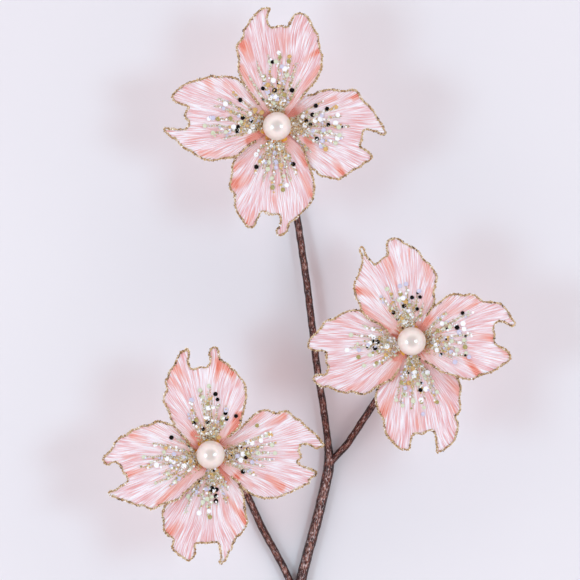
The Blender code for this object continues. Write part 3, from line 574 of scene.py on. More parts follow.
def net_of(blade):
    """Points and triangles of a flat net that fills the petal's outline."""
    root = blade.at(np.linspace(blade.half, -blade.half, ROOT_POINTS), ROOT_RADIUS)
    polygon = np.concatenate([outline_of(blade), root])
    reach = blade.polar(polygon)[1].max()
    points = []
    distance = ROOT_RADIUS + RING_STEP / 2
    while distance < reach:
        step = COLUMN_ARC / COLUMN_ARC_AT
        step *= 4 if distance < COLUMNS_HALVE_UNDER[0] else 2 if distance < COLUMNS_HALVE_UNDER[1] else 1
        count = int(math.pi / step)
        points.append(blade.at(np.arange(-count, count + 1) * step, distance))
        distance += RING_STEP
    points = np.concatenate(points)
    points = points[inside(polygon, points)]
    for x, y in polygon:
        points = points[(points[:, 0] - x) ** 2 + (points[:, 1] - y) ** 2 > RIM_CLEAR * RIM_CLEAR]
    corners = np.concatenate([polygon, points])
    edges = [(k, (k + 1) % len(polygon)) for k in range(len(polygon))]
    spots, _, faces, *_ = delaunay_2d_cdt([Vector(c / MM) for c in corners], edges, [], 1, 1e-5, False)
    spots = np.array([tuple(v) for v in spots]) * MM
    faces = np.array([tuple(f) for f in faces])
    faces = faces[inside(polygon, spots[faces].mean(axis=1))]
    return spots, [tuple(int(v) for v in face) for face in faces]


# %% [markdown]
# ## Satin
#
# The satin is pale pink with a coral dye that is strongest at the root. Pleat crests are painted nearly
# white, a painted sheen highlight. Deeper folds are painted coral and darker, a painted shade, and ridges are
# painted paler. The crest and the dye with the fold shade are worked out with the shape and kept as
# attributes of the mesh, and the streaks effect adds threads and broad bands of painted sheen between them.
# The satin is thin, so some light passes through it and tints its shadow.

# %% Satin
def blend_colours(tree, share, first, second):
    """One colour over another by a share from 0 to 1."""
    node = tree.nodes.new("ShaderNodeMix")
    node.data_type = "RGBA"
    for name, value in (("Factor_Float", share), ("A_Color", first), ("B_Color", second)):
        socket = next(s for s in node.inputs if s.identifier == name)
        if isinstance(value, str):
            socket.default_value = paint(value)
        else:
            wire(tree, (value, socket))
    return next(s for s in node.outputs if s.identifier == "Result_Color")


satin, tree, shader = new_material("pink_satin_pleats", {
    "Roughness": 0.45, "Sheen Weight": 0.2, "Sheen Roughness": 0.4, "Subsurface Weight": 0.25,
    "Subsurface Scale": 0.0015, "Subsurface Radius": (1.0, 0.6, 0.5)})
# Both streaks are painted sheen: pale strokes that stand for light along the satin. The finer one also gives
# the threads' relief.
thread_and_sheen = effect(tree, STREAKS, 3.0, 0.085, 3.4)
sheen_band = effect(tree, STREAKS, 0.6, 0.06, 0.8)
# The pale mask adds painted sheen streaks to the painted crest highlights and fold shade. The ramp runs from
# painted shade to painted highlight.
pale = maths(tree, "ADD", maths(tree, "ADD", thread_and_sheen, sheen_band), attribute(tree, "crest"), clamp=True)
cloth_sheen_and_shade = tint_ramp(tree, pale, (0.0, "#DF989A"), (0.25, "#E6B1B5"), (0.5, "#ECCACF"), (0.75, "#F3DFE4"),
                  (1.0, "#FCF6F9"))
# The coral mask is the root's dye with painted shade in the folds, less under the pale streaks.
dye_and_fold_shade = maths(tree, "ADD", attribute(tree, "dye_and_fold_shade"), maths(tree, "MULTIPLY", thread_and_sheen, -0.4), clamp=True)
coral = tint_ramp(tree, dye_and_fold_shade, (0.0, "#F2BFB4"), (0.5, "#F3AC9A"), (0.8, "#EE947C"), (1.0, "#DC5836"))
wire(tree, (blend_colours(tree, dye_and_fold_shade, cloth_sheen_and_shade, coral), shader.inputs["Base Color"]))
bumped(tree, shader, thread_and_sheen, 0.5, 0.0003)

# %% Petals
SATIN_THICKNESS = 0.3 * MM
# How much paler or deeper some petals are than the rest
PALER = {"top_bloom_upper": -0.13, "top_bloom_lower": -0.08, "top_bloom_right": 0.06,
         "right_bloom_lower": -0.12, "left_bloom_lower": -0.05, "left_bloom_left": 0.04,
         "left_bloom_right": 0.03}
CENTRE_DYE, CENTRE_DYE_FROM, CENTRE_DYE_FADE = 0.86, 7.5 * MM, 9.0 * MM
# How strongly folds are painted coral as shade, and the most that dye and painted shade reach together.
FOLD_SHADE, MOST_DYE_AND_SHADE = 1.2, 0.84
MAP_TURN = 30


def add_attribute(mesh, name, values, domain="POINT"):
    """A value for each point or face of a mesh."""
    mesh.attributes.new(name, "FLOAT", domain).data.foreach_set("value", np.asarray(values, np.float32))


def add_lie(mesh, across, along):
    """A map of the mesh: how far across and along the piece each point is, for streaks to follow."""
    layer = mesh.uv_layers.new(name="lie")
    corner = np.empty(len(mesh.loops), np.int32)
    mesh.loops.foreach_get("vertex_index", corner)
    layer.data.foreach_set("uv", np.stack([across[corner], along[corner]], -1).astype(np.float32).ravel())


def shell(name, top, low, faces):
    """Two skins with the same faces, joined by a rim into one closed piece."""
    count = len(top)
    edges = {pair: True for face in faces for pair in zip(face, face[1:] + face[:1])}
    rim = [(b, a, a + count, b + count) for a, b in edges if (b, a) not in edges]
    lower = [tuple(v + count for v in face[::-1]) for face in faces]
    return mesh_of(name, np.concatenate([top, low]), faces + lower + rim)


def satin_petal(blade):
    """The pleated petal, with its dyed root, painted fold shade and painted crest highlights."""
    flat, faces = net_of(blade)
    height, crest, fold = blade.surface(flat)
    bearing, distance = blade.polar(flat)
    top = np.column_stack([flat, height + SATIN_THICKNESS / 2])
    low = np.column_stack([flat, height - SATIN_THICKNESS / 2])
    mesh = shell(blade.name + "_satin", top, low, faces)
    centre_dye = CENTRE_DYE * np.exp(-np.clip(distance - CENTRE_DYE_FROM, 0, None) / CENTRE_DYE_FADE)
    cloudy = 0.16 * field(blade.seed + 4, bearing * 10, distance / (12 * MM))
    # Crests are painted paler as a sheen highlight and folds darker as painted shade. The cloudy field and
    # the petal's own paleness are its tone.
    crest = np.clip(0.44 + PALER.get(blade.name, 0) + 0.25 * crest + cloudy - 0.45 * fold, 0, 1)
    # The coral is dye near the root and painted shade in the folds.
    dye_and_fold_shade = np.clip(centre_dye + FOLD_SHADE * np.clip(fold, 0, None) * (1.1 - 0.4 * crest), 0, MOST_DYE_AND_SHADE)
    add_attribute(mesh, "crest", np.tile(crest, 2))
    add_attribute(mesh, "dye_and_fold_shade", np.tile(dye_and_fold_shade, 2))
    sway = 1.2 * field(blade.seed + 5, bearing * 3, distance / (16 * MM)) + 4.7 * blade.seed
    add_lie(mesh, np.tile(bearing * MAP_TURN + sway, 2), np.tile(distance / MM, 2))
    return mesh


def dressed(mesh, materials, node):
    """A mesh as a piece that rides on the root and stands for its node."""
    piece = in_scene(mesh.name, mesh)
    for material in materials:
        mesh.materials.append(material)
    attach(piece, "root")
    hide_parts(node)
    return piece


petals = {}
for name, blade in blades.items():
    petals[name] = dressed(satin_petal(blade), [satin], name + "_petal")

# %% [markdown]
# ## Glitter
#
# The glitter is glue with metal flakes of many sizes. Each flake is a small flattened grain with eight facets
# and a tone of its own, from dark bronze to silver white, so that it catches the light by itself. The middle
# tones are the flakes' own gold and champagne. The darkest grains are painted reflections of dark
# surroundings, and the whitest are painted glints.

# %% Grains and tubes
GRAIN_CORNERS = np.array([(1, 0, 0), (-1, 0, 0), (0, 1, 0), (0, -1, 0), (0, 0, 1), (0, 0, -1)], float)
GRAIN_FACES = np.array([(0, 2, 4), (2, 1, 4), (1, 3, 4), (3, 0, 4),
                        (2, 0, 5), (1, 2, 5), (3, 1, 5), (0, 3, 5)])
GRAIN_FLATNESS = np.array([1.0, 1.0, 0.45])


def turned(rng, count, tilt):
    """Rotations about random axes, by angles up to a tilt."""
    axis = rng.normal(size=(count, 3))
    axis /= np.linalg.norm(axis, axis=1)[:, None]
    angle = rng.uniform(-tilt, tilt, count)
    c, s = np.cos(angle), np.sin(angle)
    x, y, z = axis.T
    zero = np.zeros(count)
    cross = np.stack([zero, -z, y, z, zero, -x, -y, x, zero], -1).reshape(-1, 3, 3)
    return (np.eye(3) * c[:, None, None] + cross * s[:, None, None]
            + (axis[:, :, None] * axis[:, None, :]) * (1 - c)[:, None, None])


def grains(rng, places, sizes, tones):
    """Corners, faces and face tones of one grain at each place."""
    shape = GRAIN_CORNERS * GRAIN_FLATNESS
    shape = shape[None] * sizes[:, None, None] * rng.uniform(0.75, 1.25, (len(places), 6, 1))
    corners = np.einsum("nij,nkj->nki", turned(rng, len(places), math.pi), shape) + places[:, None, :]
    faces = GRAIN_FACES[None] + 6 * np.arange(len(places))[:, None, None]
    return corners.reshape(-1, 3), faces.reshape(-1, 3), np.repeat(tones, 8)


def unit(rows):
    """Rows of numbers as directions of length one."""
    return rows / np.maximum(np.linalg.norm(rows, axis=1), 1e-9)[:, None]


def spokes(across, over, sides):
    """Directions out from each point of a line, evenly round it."""
    turn = np.arange(sides) * 2 * math.pi / sides
    return np.cos(turn)[None, :, None] * across[:, None] + np.sin(turn)[None, :, None] * over[:, None]


def tube_faces(rings, sides):
    """Faces of a closed tube whose corners are listed ring by ring."""
    pairs = [(k * sides + i, k * sides + (i + 1) % sides) for k in range(rings - 1) for i in range(sides)]
    last = (rings - 1) * sides
    return [(a, b, b + sides, a + sides) for a, b in pairs] + [
        tuple(range(sides))[::-1], tuple(last + i for i in range(sides))]


def tube(line, radii, sides):
    """Corners and faces of a closed tube along a line."""
    ahead = unit(np.gradient(line, axis=0))
    across = unit(np.cross(ahead, (0, 0, 1)))
    ring = spokes(across, np.cross(across, ahead), sides)
    return (line[:, None] + ring * radii[:, None, None]).reshape(-1, 3), tube_faces(len(line), sides)


def joined(name, parts):
    """One mesh from parts, each corners, faces, face tones and material number."""
    corners, faces, tones, numbers, start = [], [], [], [], 0
    for own_corners, own_faces, own_tones, number in parts:
        corners.append(own_corners)
        faces += [tuple(int(v) + start for v in face) for face in own_faces]
        tones += list(np.broadcast_to(own_tones, len(own_faces)))
        numbers += [number] * len(own_faces)
        start += len(own_corners)
    mesh = mesh_of(name, np.concatenate(corners), faces, smooth=False)
    mesh.polygons.foreach_set("material_index", numbers)
    add_attribute(mesh, "tone", tones, "FACE")
    return mesh


# %% Glitter finishes
def glitter_finish(name, stops, metallic, roughness):
    """Flakes whose colour runs along stops by their tone, with fine scratches."""
    material, tree, shader = new_material(name, {"Metallic": metallic, "Roughness": roughness})
    scratches = maths(tree, "SUBTRACT", effect(tree, MOTTLE, 900.0, MOTTLE_DETAIL), 0.5)
    tone = maths(tree, "ADD", attribute(tree, "tone"), maths(tree, "MULTIPLY", scratches, 0.25), clamp=True)
    wire(tree, (tint_ramp(tree, tone, *stops), shader.inputs["Base Color"]))
    return material


def mottled_finish(name, settings, scale, detail, stops, relief=None):
    """A finish whose colour runs along stops by the mottle, with relief as strength and depth."""
    material, tree, shader = new_material(name, settings)
    mask = effect(tree, MOTTLE, scale, detail)
    wire(tree, (tint_ramp(tree, mask, *stops), shader.inputs["Base Color"]))
    if relief:
        bumped(tree, shader, mask, *relief)
    return material


# The dark end of these tones is painted reflection and the white end painted glint. Between them lie the
# glitter's own gold and champagne.
EDGE_TONES = ((0.0, "#3A2616"), (0.15, "#7A5630"), (0.35, "#B98E54"), (0.6, "#D9C296"), (0.8, "#EFE6CE"),
              (1.0, "#FFFFFF"))
LINE_TONES = ((0.0, "#3A2414"), (0.12, "#A8783E"), (0.26, "#D8AC68"), (0.42, "#E4D0AA"), (0.6, "#ECE5D4"),
              (0.76, "#E6ECDE"), (0.88, "#E6E2F2"), (1.0, "#FFFFFF"))
# Black is a painted reflection of the dark lens and white a painted highlight of the soft boxes.
SEQUIN_TONES = ((0.0, "#0A0605"), (0.12, "#1A100C"), (0.22, "#E2B877"), (0.38, "#A69A5E"), (0.55, "#DDE3C6"),
                (0.74, "#CFCBE4"), (0.9, "#FFFFFF"), (1.0, "#FFFFFF"))
edge_glitter = glitter_finish("edge_glitter", EDGE_TONES, 0.2, 0.3)
line_glitter = glitter_finish("line_glitter", LINE_TONES, 0.15, 0.25)
sequin_finish = glitter_finish("sequins", SEQUIN_TONES, 0.0, 0.2)
gel = mottled_finish("dried_glue", {"Roughness": 0.25}, 420.0, MOTTLE_DETAIL,
                     ((0.3, "#9A7042"), (0.7, "#E0C8A0")), (0.5, 0.0003))

# %% [markdown]
# The bead of glitter runs round each petal's free edge, from where it comes out from under its
# neighbour on one side to the same place on the other.

# %% Edge beads
BEAD_RADIUS = 0.42 * MM
BEAD_SIDES = 8
BEAD_GRAINS_PER_MM = 5.5
BEAD_GRAIN = (0.28 * MM, 0.60 * MM)
GLUE_TONE = 0.3


def bead_line(blade):
    """The petal's edge between the bead's ends, on the blade's surface."""
    line = outline_of(blade)
    distance = blade.polar(line)[1]
    tip = int(np.argmax(distance))
    first = max([0] + [k for k in range(tip) if distance[k] < blade.bead_from[0] * MM])
    last = min([len(line) - 1] + [k for k in range(tip, len(line)) if distance[k] < blade.bead_from[1] * MM])
    line = line[first:last + 1]
    return np.column_stack([line, blade.surface(line)[0]])


for name, blade in blades.items():
    rng = np.random.RandomState(blade.seed + 500)
    line = bead_line(blade)
    length = np.linalg.norm(np.diff(line, axis=0), axis=1).sum()
    lumps = 1 + 0.28 * field(blade.seed + 6, np.arange(len(line)) * 0.9, np.zeros(len(line)))
    parts = [(*tube(line, BEAD_RADIUS * lumps, BEAD_SIDES), GLUE_TONE, 1)]
    count = int(length / MM * BEAD_GRAINS_PER_MM)
    along = rng.uniform(0, len(line) - 1.001, count)
    k = along.astype(int)
    base = line[k] + (line[k + 1] - line[k]) * (along - k)[:, None]
    side = np.cross(unit(line[k + 1] - line[k]), (0, 0, 1))
    angle = rng.uniform(-0.5, math.pi + 0.5, count)
    out = np.cos(angle)[:, None] * side + np.sin(angle)[:, None] * np.array((0, 0, 1))
    places = base + out * (BEAD_RADIUS * lumps[k] * rng.uniform(0.85, 1.12, count))[:, None]
    sizes = rng.uniform(*BEAD_GRAIN, count)
    tones = np.clip(rng.beta(1.5, 1.7, count) + 0.15 * field(blade.seed + 7, along * 0.25, along * 0), 0, 1)
    parts.append((*grains(rng, places, sizes, tones), 0))
    dressed(joined(name + "_bead", parts), [edge_glitter, gel], name + "_petal_edge")
print("edge beads:", len(blades))

# %% [markdown]
# Lines of glitter glue spread from the pearl over each petal, and larger hexagonal sequins lie among them.
# Each line's end and each sequin is read from the photograph. W is a sequin that faces a soft box, painted
# white as a painted highlight, L lavender, G pale green, O olive gold, B one that mirrors the dark lens,
# painted black as a painted reflection, and C champagne.

# %% Line ends and sequins, in pixels of the view
LINE_ENDS = {
    "top_bloom_upper": "256.4,60.5 267.9,53.6 279.4,49.8 290.1,54.3 297.8,62 248.8,75 300,79.6 262,72 285,66",
    "top_bloom_left": """232,93.4 218.2,98 213.6,105.6 207.5,117.9 202.9,126.3 212.8,133.2 222.8,138.5
        228,112 232,131""",
    "top_bloom_lower": """254.2,175.3 262.9,182.9 272.5,189.8 282.9,191.4 290,182 296.3,176 254.9,157
        262,170 287,168""",
    "top_bloom_right": """324.2,100.4 336.7,107 341.8,115.9 350.6,125.8 344,136.4 337.4,143.4 329.3,146.7
        312.5,152.2 330,121 330,132""",
    "right_bloom_upper": "381,295 387,287 398,290 407,283 418,290 390,303 403,300 413,300 424,302",
    "right_bloom_right": "442,317 470,313 472,334 468,342 465,357 453,359 456,325 458,349 447,312",
    "right_bloom_lower": "404,388 413,407 424,400 437,405 396,400 401,405 430,385 437,392 418,393",
    "right_bloom_left": "361,325 354,335 362,341 349,347 369,356 374,367 366,349 375,337 380,362",
    "left_bloom_upper": "189,400 200,388 209,386 218,402 226,405 188,413 212,395 205,400 228,414",
    "left_bloom_right": "272,434 277,443 273,453 273,460 266,466 257,477 262,436 252,471 264,448",
    "left_bloom_lower": "184,511 208,517 226,504 200,510 190,500 217,506 228,492 195,497 210,506",
    "left_bloom_left": "152,443 144,457 143,468 155,484 169,485 160,446 162,474 150,462 175,438",
}
SEQUINS = {
    "top_bloom_upper": """B 272.5,62; G 269.5,61.6; G 276.2,61.7; W 284.8,68.9; L 281.7,66.6; W 273.3,80.4;
        B 262.9,88.5; B 292,90.3; B 274.5,90.3; L 267.6,91.9; O 284,94.9; W 274.8,96.4; G 273.6,103.3; W
        282,103.3; O 288.9,61.2; C 289.4,56.6; O 279.9,57.4; W 278.8,52.8; O 264,76.5; G 287,75; C 268,85; W
        270,98; C 279,86; L 277,99""",
    "top_bloom_left": """B 240.4,100; W 225.5,104; L 223.5,108.4; W 209,118.6; L 213,117.9; O 218.2,119; O
        230.4,118.6; G 204.7,125.8; B 251,121; B 238,126.8; B 237,130.9; W 233.5,126.8; W 250,113.6; C
        255.2,109.9; W 252.3,126.8; W 249.3,131.4; L 229.2,131.4; G 225.8,132; B 242.7,117.9; C 261.8,112.5;
        G 241,122; G 213,133""",
    "top_bloom_lower": """L 274.8,153; B 293.2,164.1; B 256.4,166.9; C 260.3,161.5; W 256.1,154.6; G
        269,162.3; G 267.9,169.2; L 275.9,162.3; L 275.9,167.6; G 271.8,178.4; O 272.5,187.5; W 286.8,185.2;
        O 282.9,189.8; C 280.9,165.3; C 286,157; G 284,176""",
    "top_bloom_right": """B 315.8,105.8; B 327.1,108.9; B 312.5,114.8; B 306.2,120.8; B 310.3,124.4; B
        328.2,124.7; B 316.9,138.7; W 320.2,119.2; W 315,120.6; W 337.8,114.9; W 335.6,123; L 322,115.5; L
        323.5,130.2; G 330,131.3; G 338.9,127.2; G 339.6,135.3; G 335.6,143; L 320.9,146.3; C 325.7,149.2; L
        322.4,140.8; C 336,107; W 303,116.6; W 305.1,125; W 337.4,138.2; L 313,131""",
    "right_bloom_upper": """B 393.5,312.5; B 404,306; B 412,297.5; B 420,297; B 417,309; O 409.5,305; L
        400,286; W 403,298; L 406,284; G 387,289; O 400.5,294; L 419,291; G 399,300; C 406,302; W 404,322; C
        402,318""",
    "right_bloom_right": """B 462.5,313; B 457,327.5; W 442,323.5; W 463,323.5; W 464,329; W 437,350; G
        450,327; G 466,353; L 455,362; L 469,357; O 465,347; O 438,331; G 446,345; G 452,341; L 451,352; W
        436,345; G 464,340; L 459,332; G 457,350; C 429,332""",
    "right_bloom_lower": """W 414.5,372.5; W 427.5,372.5; W 414,377; O 401.5,382.5; B 420.5,390; O
        421.5,402; O 437,402; G 418,384; L 405,388; G 396.5,400; G 402.5,405.5; G 424,407.5; L 402,377; G
        405,395; G 413,401; W 421,400; L 423,414; C 409,383; C 413,369; G 437,392; W 426,389; O 402,383""",
    "right_bloom_left": """W 373,329; W 373.5,337; W 347,350; W 387,346.5; G 364,365.5; B 372.5,341; B
        377.5,342; B 375,348; O 358.5,357; O 376.5,363; L 359,350; G 370,355; C 389,350; L 368,345; W
        370,343; G 351,335; C 386,355""",
    "left_bloom_upper": """B 215.5,394; B 217.5,399.5; B 225.5,413; B 236,416; B 207.5,422; B 194,423; B
        203,429; B 226.5,419; G 222.5,418; O 222,423; O 196.5,420; W 206,417; W 213,407; L 191.5,400; G
        200,390; G 209,386; G 203,397; W 208,408; C 203,431; L 226,410; C 219,437""",
    "left_bloom_right": """B 246,457.5; B 243,471.5; B 248,449; O 257,425.5; W 249,441.5; W 252,443; W
        261,440.5; W 243,454; W 241,460; G 275,453; G 272,445; C 270,434; O 247,453; L 238,456; C 230,457; G
        258,453; L 252,462""",
    "left_bloom_lower": """B 212,488; B 211,491.5; B 216.5,489.5; B 216,496; B 216,501; W 199,513; L
        206,489; O 210,517; G 207,499; G 212,497; L 196,492; W 209,511; G 188,496; C 211,475; G 203,502; C
        198,485""",
    "left_bloom_left": """B 171.5,437.5; L 174,454; W 173.5,462; W 156.5,465; W 167,458.5; G 144,457; G
        175,482; L 178.5,478.5; C 166,448; G 164,452; L 184,457; C 190,461; G 168,474; C 149,466; L 171,466;
        W 184,466""",
}
# B paints a dark reflection and W a highlight. The other letters are the sequins' own colours.
SEQUIN_TONE = {"B": 0.0, "C": 0.22, "O": 0.38, "G": 0.55, "L": 0.74, "W": 1.0}
print("sequins:", sum(len(s.split(";")) for s in SEQUINS.values()))

# %% Glitter lines
LINE_CORE, LINE_SIDES, LINE_STEP = 0.30 * MM, 6, 0.5 * MM
LINE_FROM = 8.2 * MM
LINE_GRAINS_PER_MM = 11.0
LINE_GRAIN = (0.26 * MM, 0.56 * MM)
LINE_SPREAD = 0.52 * MM
LINE_TONE = 0.4
GRAIN_LIFT = 0.15 * MM
ROOT_GRAINS = 160
ROOT_GRAINS_FROM, ROOT_GRAINS_SPAN = 7.4, 9.5
# How much further the glue and its grains spread from some pearls, in mm
GLUE_SPREAD = {"top_bloom_lower": 1.8}
FLAKES = 90
FLAKE = (0.38 * MM, 0.78 * MM)
# The small flakes take the same tones, with black as painted reflection and white as painted highlight among
# them.
FLAKE_TONES = ((0.0, 0.22, 0.38, 0.55, 0.74, 1.0), (0.04, 0.20, 0.12, 0.18, 0.12, 0.34))
SEQUIN_SIZE = 1.2 * MM
SEQUIN_THICK = 0.12 * MM
SEQUIN_LIFT = 0.6 * MM
# Sequins painted white as highlights are drawn a little larger.
HIGHLIGHT_SEQUIN_SHARE = 1.15


def on_blade(blade, xy, lift):
    """Points over the blade's surface."""
    return np.column_stack([xy, blade.surface(xy)[0] + lift])


def hexes(rng, middles, sizes, tones, tilt):
    """Corners, faces and face tones of one thin six-sided plate at each place."""
    count = len(middles)
    turn = rng.uniform(0, math.pi, count)[:, None] + np.arange(6) * math.pi / 3
    ring = np.stack([np.cos(turn) * sizes[:, None], np.sin(turn) * sizes[:, None], turn * 0], -1)
    both = np.concatenate([ring - (0, 0, SEQUIN_THICK / 2), ring + (0, 0, SEQUIN_THICK / 2)], 1)
    both = np.einsum("nij,nkj->nki", turned(rng, count, tilt), both) + middles[:, None]
    faces = []
    for a in range(0, 12 * count, 12):
        faces += [tuple(a + i for i in range(5, -1, -1)), tuple(a + 6 + i for i in range(6))]
        faces += [(a + i, a + (i + 1) % 6, a + 6 + (i + 1) % 6, a + 6 + i) for i in range(6)]
    return both.reshape(-1, 3), faces, np.repeat(tones, 8)


for name, blade in blades.items():
    rng = np.random.RandomState(blade.seed + 900)
    parts, paths, places, sizes, tones = [], [], [], [], []
    for end in readings(LINE_ENDS[name]):
        bearing, reach = blade.polar(blade.place(end))
        steps = np.arange(LINE_FROM, reach, LINE_STEP)
        bearings = bearing * (0.72 + 0.28 * smooth((LINE_FROM, 0.7 * reach), steps))
        bearings = bearings + 0.02 * field(blade.seed + 8, steps / (3 * MM), steps * 0 + bearing * 7)
        path = on_blade(blade, blade.at(bearings, steps), 0.18 * MM)
        paths.append(path)
        thin = LINE_CORE * (1 - 0.5 * smooth((0.6 * reach, reach), steps))
        parts.append((*tube(path, thin, LINE_SIDES), LINE_TONE, 1))
        count = int((reach - LINE_FROM) / MM * LINE_GRAINS_PER_MM)
        along = rng.uniform(0, 1, count)
        base = path[(along * (len(steps) - 1.01)).astype(int)]
        spread = LINE_SPREAD * (1 - 0.4 * along)
        strayed = rng.normal(size=(count, 3)) * spread[:, None] * (1, 1, 0.25)
        places.append(base + strayed + (0, 0, GRAIN_LIFT))
        sizes.append(rng.uniform(*LINE_GRAIN, count) * (1 - 0.3 * along))
        tones.append(np.clip(rng.beta(1.1, 1.0, count) * 0.85 + 0.2 * along, 0, 1))
    wide = 0.68 * blade.half
    near = rng.uniform(0, 1, ROOT_GRAINS) ** 1.6
    turn = rng.uniform(-wide, wide, ROOT_GRAINS) * (1 - 0.35 * near)
    scattered = blade.at(turn, (ROOT_GRAINS_FROM + GLUE_SPREAD.get(name, 0) + ROOT_GRAINS_SPAN * near) * MM)
    heaped = (0, 0, GRAIN_LIFT) * rng.uniform(0, 1, (ROOT_GRAINS, 1))
    places.append(on_blade(blade, scattered, 0.2 * MM) + heaped)
    sizes.append(rng.uniform(*LINE_GRAIN, ROOT_GRAINS))
    gold = 0.18 + 0.34 * rng.beta(1.5, 1.5, ROOT_GRAINS)
    tones.append(np.clip(gold + 0.42 * near * rng.uniform(0, 1, ROOT_GRAINS), 0, 1))
    parts.append((*grains(rng, np.concatenate(places), np.concatenate(sizes), np.concatenate(tones)), 0))
    spray = name + "_petal_glitter"
    dressed(joined(name + "_lines", parts), [line_glitter, gel], spray)

    found = [(SEQUIN_TONE[row.split()[0]], *map(float, row.split()[1].split(",")))
             for row in SEQUINS[name].split(";")]
    middles = on_blade(blade, np.array([blade.place(f[1:]) for f in found]), SEQUIN_LIFT)
    own_tones = np.array([f[0] for f in found])
    white = np.where(own_tones == SEQUIN_TONE["W"], HIGHLIGHT_SEQUIN_SHARE, 1.0)
    large = hexes(rng, middles, SEQUIN_SIZE * rng.uniform(0.85, 1.1, len(found)) * white, own_tones, 0.16)
    spots = np.concatenate(paths)
    spots = spots[rng.randint(0, len(spots), FLAKES)][:, :2] + rng.normal(size=(FLAKES, 2)) * 0.6 * MM
    small = hexes(rng, on_blade(blade, spots, SEQUIN_LIFT), rng.uniform(*FLAKE, FLAKES),
                  rng.choice(FLAKE_TONES[0], FLAKES, p=FLAKE_TONES[1]), 0.5)
    mesh = joined(name + "_sequins", [(*large, 0), (*small, 0)])
    dressed(mesh, [sequin_finish], spray)
print("glitter sprays:", len(blades))

# %% [markdown]
# ## Pearls
#
# Each pearl is an ivory bead with a clear nacre coat, pressed into a ring of amber glue. The bead is turned
# like a pot on a wheel, from half a circle. The glue is a patch on each petal, so that it goes with it.

# %% Pearl and glue finishes
nacre = mottled_finish("ivory_nacre", {
    "Roughness": 0.32, "IOR": 2.0, "Coat Weight": 1.0, "Coat IOR": 2.1, "Coat Roughness": 0.18,
    "Subsurface Weight": 0.15, "Subsurface Scale": 0.002},
    160.0, 3.0, ((0.25, "#DCCEC2"), (0.5, "#E3D7CD"), (0.8, "#E9DED6")), (0.08, 0.0002))
amber = mottled_finish("amber_glue", {"Roughness": 0.2, "Coat Weight": 0.5}, 260.0, MOTTLE_DETAIL,
                       ((0.3, "#B4532A"), (0.5, "#D98A2E"), (0.7, "#F0C24A")), (0.4, 0.0004))

# %% Pearls
PEARL_RADIUS = 7.15 * MM
PEARL_MIDDLE = 53.45 * MM
PEARL_SIDES, PEARL_RINGS = 72, 40


def ball(name, centre, sides, rings):
    """A pearl turned about a bloom's axis."""
    turn = np.arange(sides) * 2 * math.pi / sides
    corners = [(*centre, PEARL_MIDDLE - PEARL_RADIUS)]
    for a in np.linspace(-math.pi / 2, math.pi / 2, rings + 1)[1:-1]:
        r, z = PEARL_RADIUS * math.cos(a), PEARL_MIDDLE + PEARL_RADIUS * math.sin(a)
        corners += [(centre[0] + r * math.cos(t), centre[1] + r * math.sin(t), z) for t in turn]
    corners.append((*centre, PEARL_MIDDLE + PEARL_RADIUS))
    faces, last = [], len(corners) - 1
    for i in range(sides):
        j = (i + 1) % sides
        faces.append((0, 1 + j, 1 + i))
        for a in range(1, 1 + (rings - 2) * sides, sides):
            faces.append((a + i, a + j, a + sides + j, a + sides + i))
        faces.append((last, last - sides + i, last - sides + j))
    return mesh_of(name, corners, faces)


for bloom, centre_px in CENTRES.items():
    mesh = ball(bloom + "_pearl_bead", spot(*centre_px), PEARL_SIDES, PEARL_RINGS)
    dressed(mesh, [nacre], bloom + "_pearl")
print("pearls:", len(CENTRES))

# %% Glue under the pearls
GLUE_BEARINGS, GLUE_STEPS = 180, 10
GLUE_FROM, GLUE_TO = 5.0 * MM, 8.1 * MM
GLUE_HEIGHT = 0.7 * MM
GLUE_EDGE, GLUE_SINK = 0.15 * MM, 0.1 * MM
GLUE_SPREAD_TURN = 0.55

for name, blade in blades.items():
    count = int(GLUE_BEARINGS * blade.half / math.pi)
    bearing = np.linspace(-blade.half, blade.half, count)[:, None] + np.zeros((1, GLUE_STEPS))
    out = np.linspace(0, 1, GLUE_STEPS)[None, :] + np.zeros((count, 1))
    reach = GLUE_TO + 0.9 * MM * field(blade.seed + 9, bearing * 4.5, bearing * 0)
    reach += GLUE_SPREAD.get(name, 0) * MM * np.exp(-((bearing / GLUE_SPREAD_TURN) ** 2))
    distance = GLUE_FROM + (reach - GLUE_FROM) * out
    flat = blade.at(bearing, distance)
    side = np.minimum(1, 3 * np.minimum(bearing + blade.half, blade.half - bearing) / blade.half)
    uneven = 0.8 + 0.3 * field(blade.seed + 10, bearing * 7, out * 2)
    crown = GLUE_HEIGHT * np.clip(1 - out ** 2, 0, 1) * side * uneven
    floor = blade.calm(distance) - GLUE_SINK
    top = np.dstack([flat, floor + crown + GLUE_EDGE]).reshape(-1, 3)
    low = np.dstack([flat, floor - GLUE_SINK]).reshape(-1, 3)
    corner = [i * GLUE_STEPS + j for i in range(count - 1) for j in range(GLUE_STEPS - 1)]
    faces = [(a + 1, a + GLUE_STEPS + 1, a + GLUE_STEPS, a) for a in corner]
    dressed(shell(name + "_glue", top, low, faces), [amber], name + "_petal_glitter")
print("glue patches:", len(blades))

# %% [markdown]
# ## Stem
#
# Brown floral tape winds round the wires in a steep spiral. Its overlaps make low ridges, and it is crumpled
# and waxy. Its upper side is painted lighter with more pale flecks, a painted highlight from the light above,
# and worn pale flecks show most where the bundle is thick.

# %% Tape
# Pale flecks come from the noise, with more on the upper side as a painted highlight and more where the
# bundle is thick as worn flecks.
FLECK_FROM, FLECK_SHEEN_AND_WEAR, FLECK_GAIN = 0.155, 0.15, 7.0
tape, tree, shader = new_material("brown_floral_tape", {"Roughness": 0.28, "IOR": 1.4})
fibre = effect(tree, STREAKS, 2.2, 0.3, 2.6)
fleck = effect(tree, STREAKS, 2.4, 0.6, 1.0)
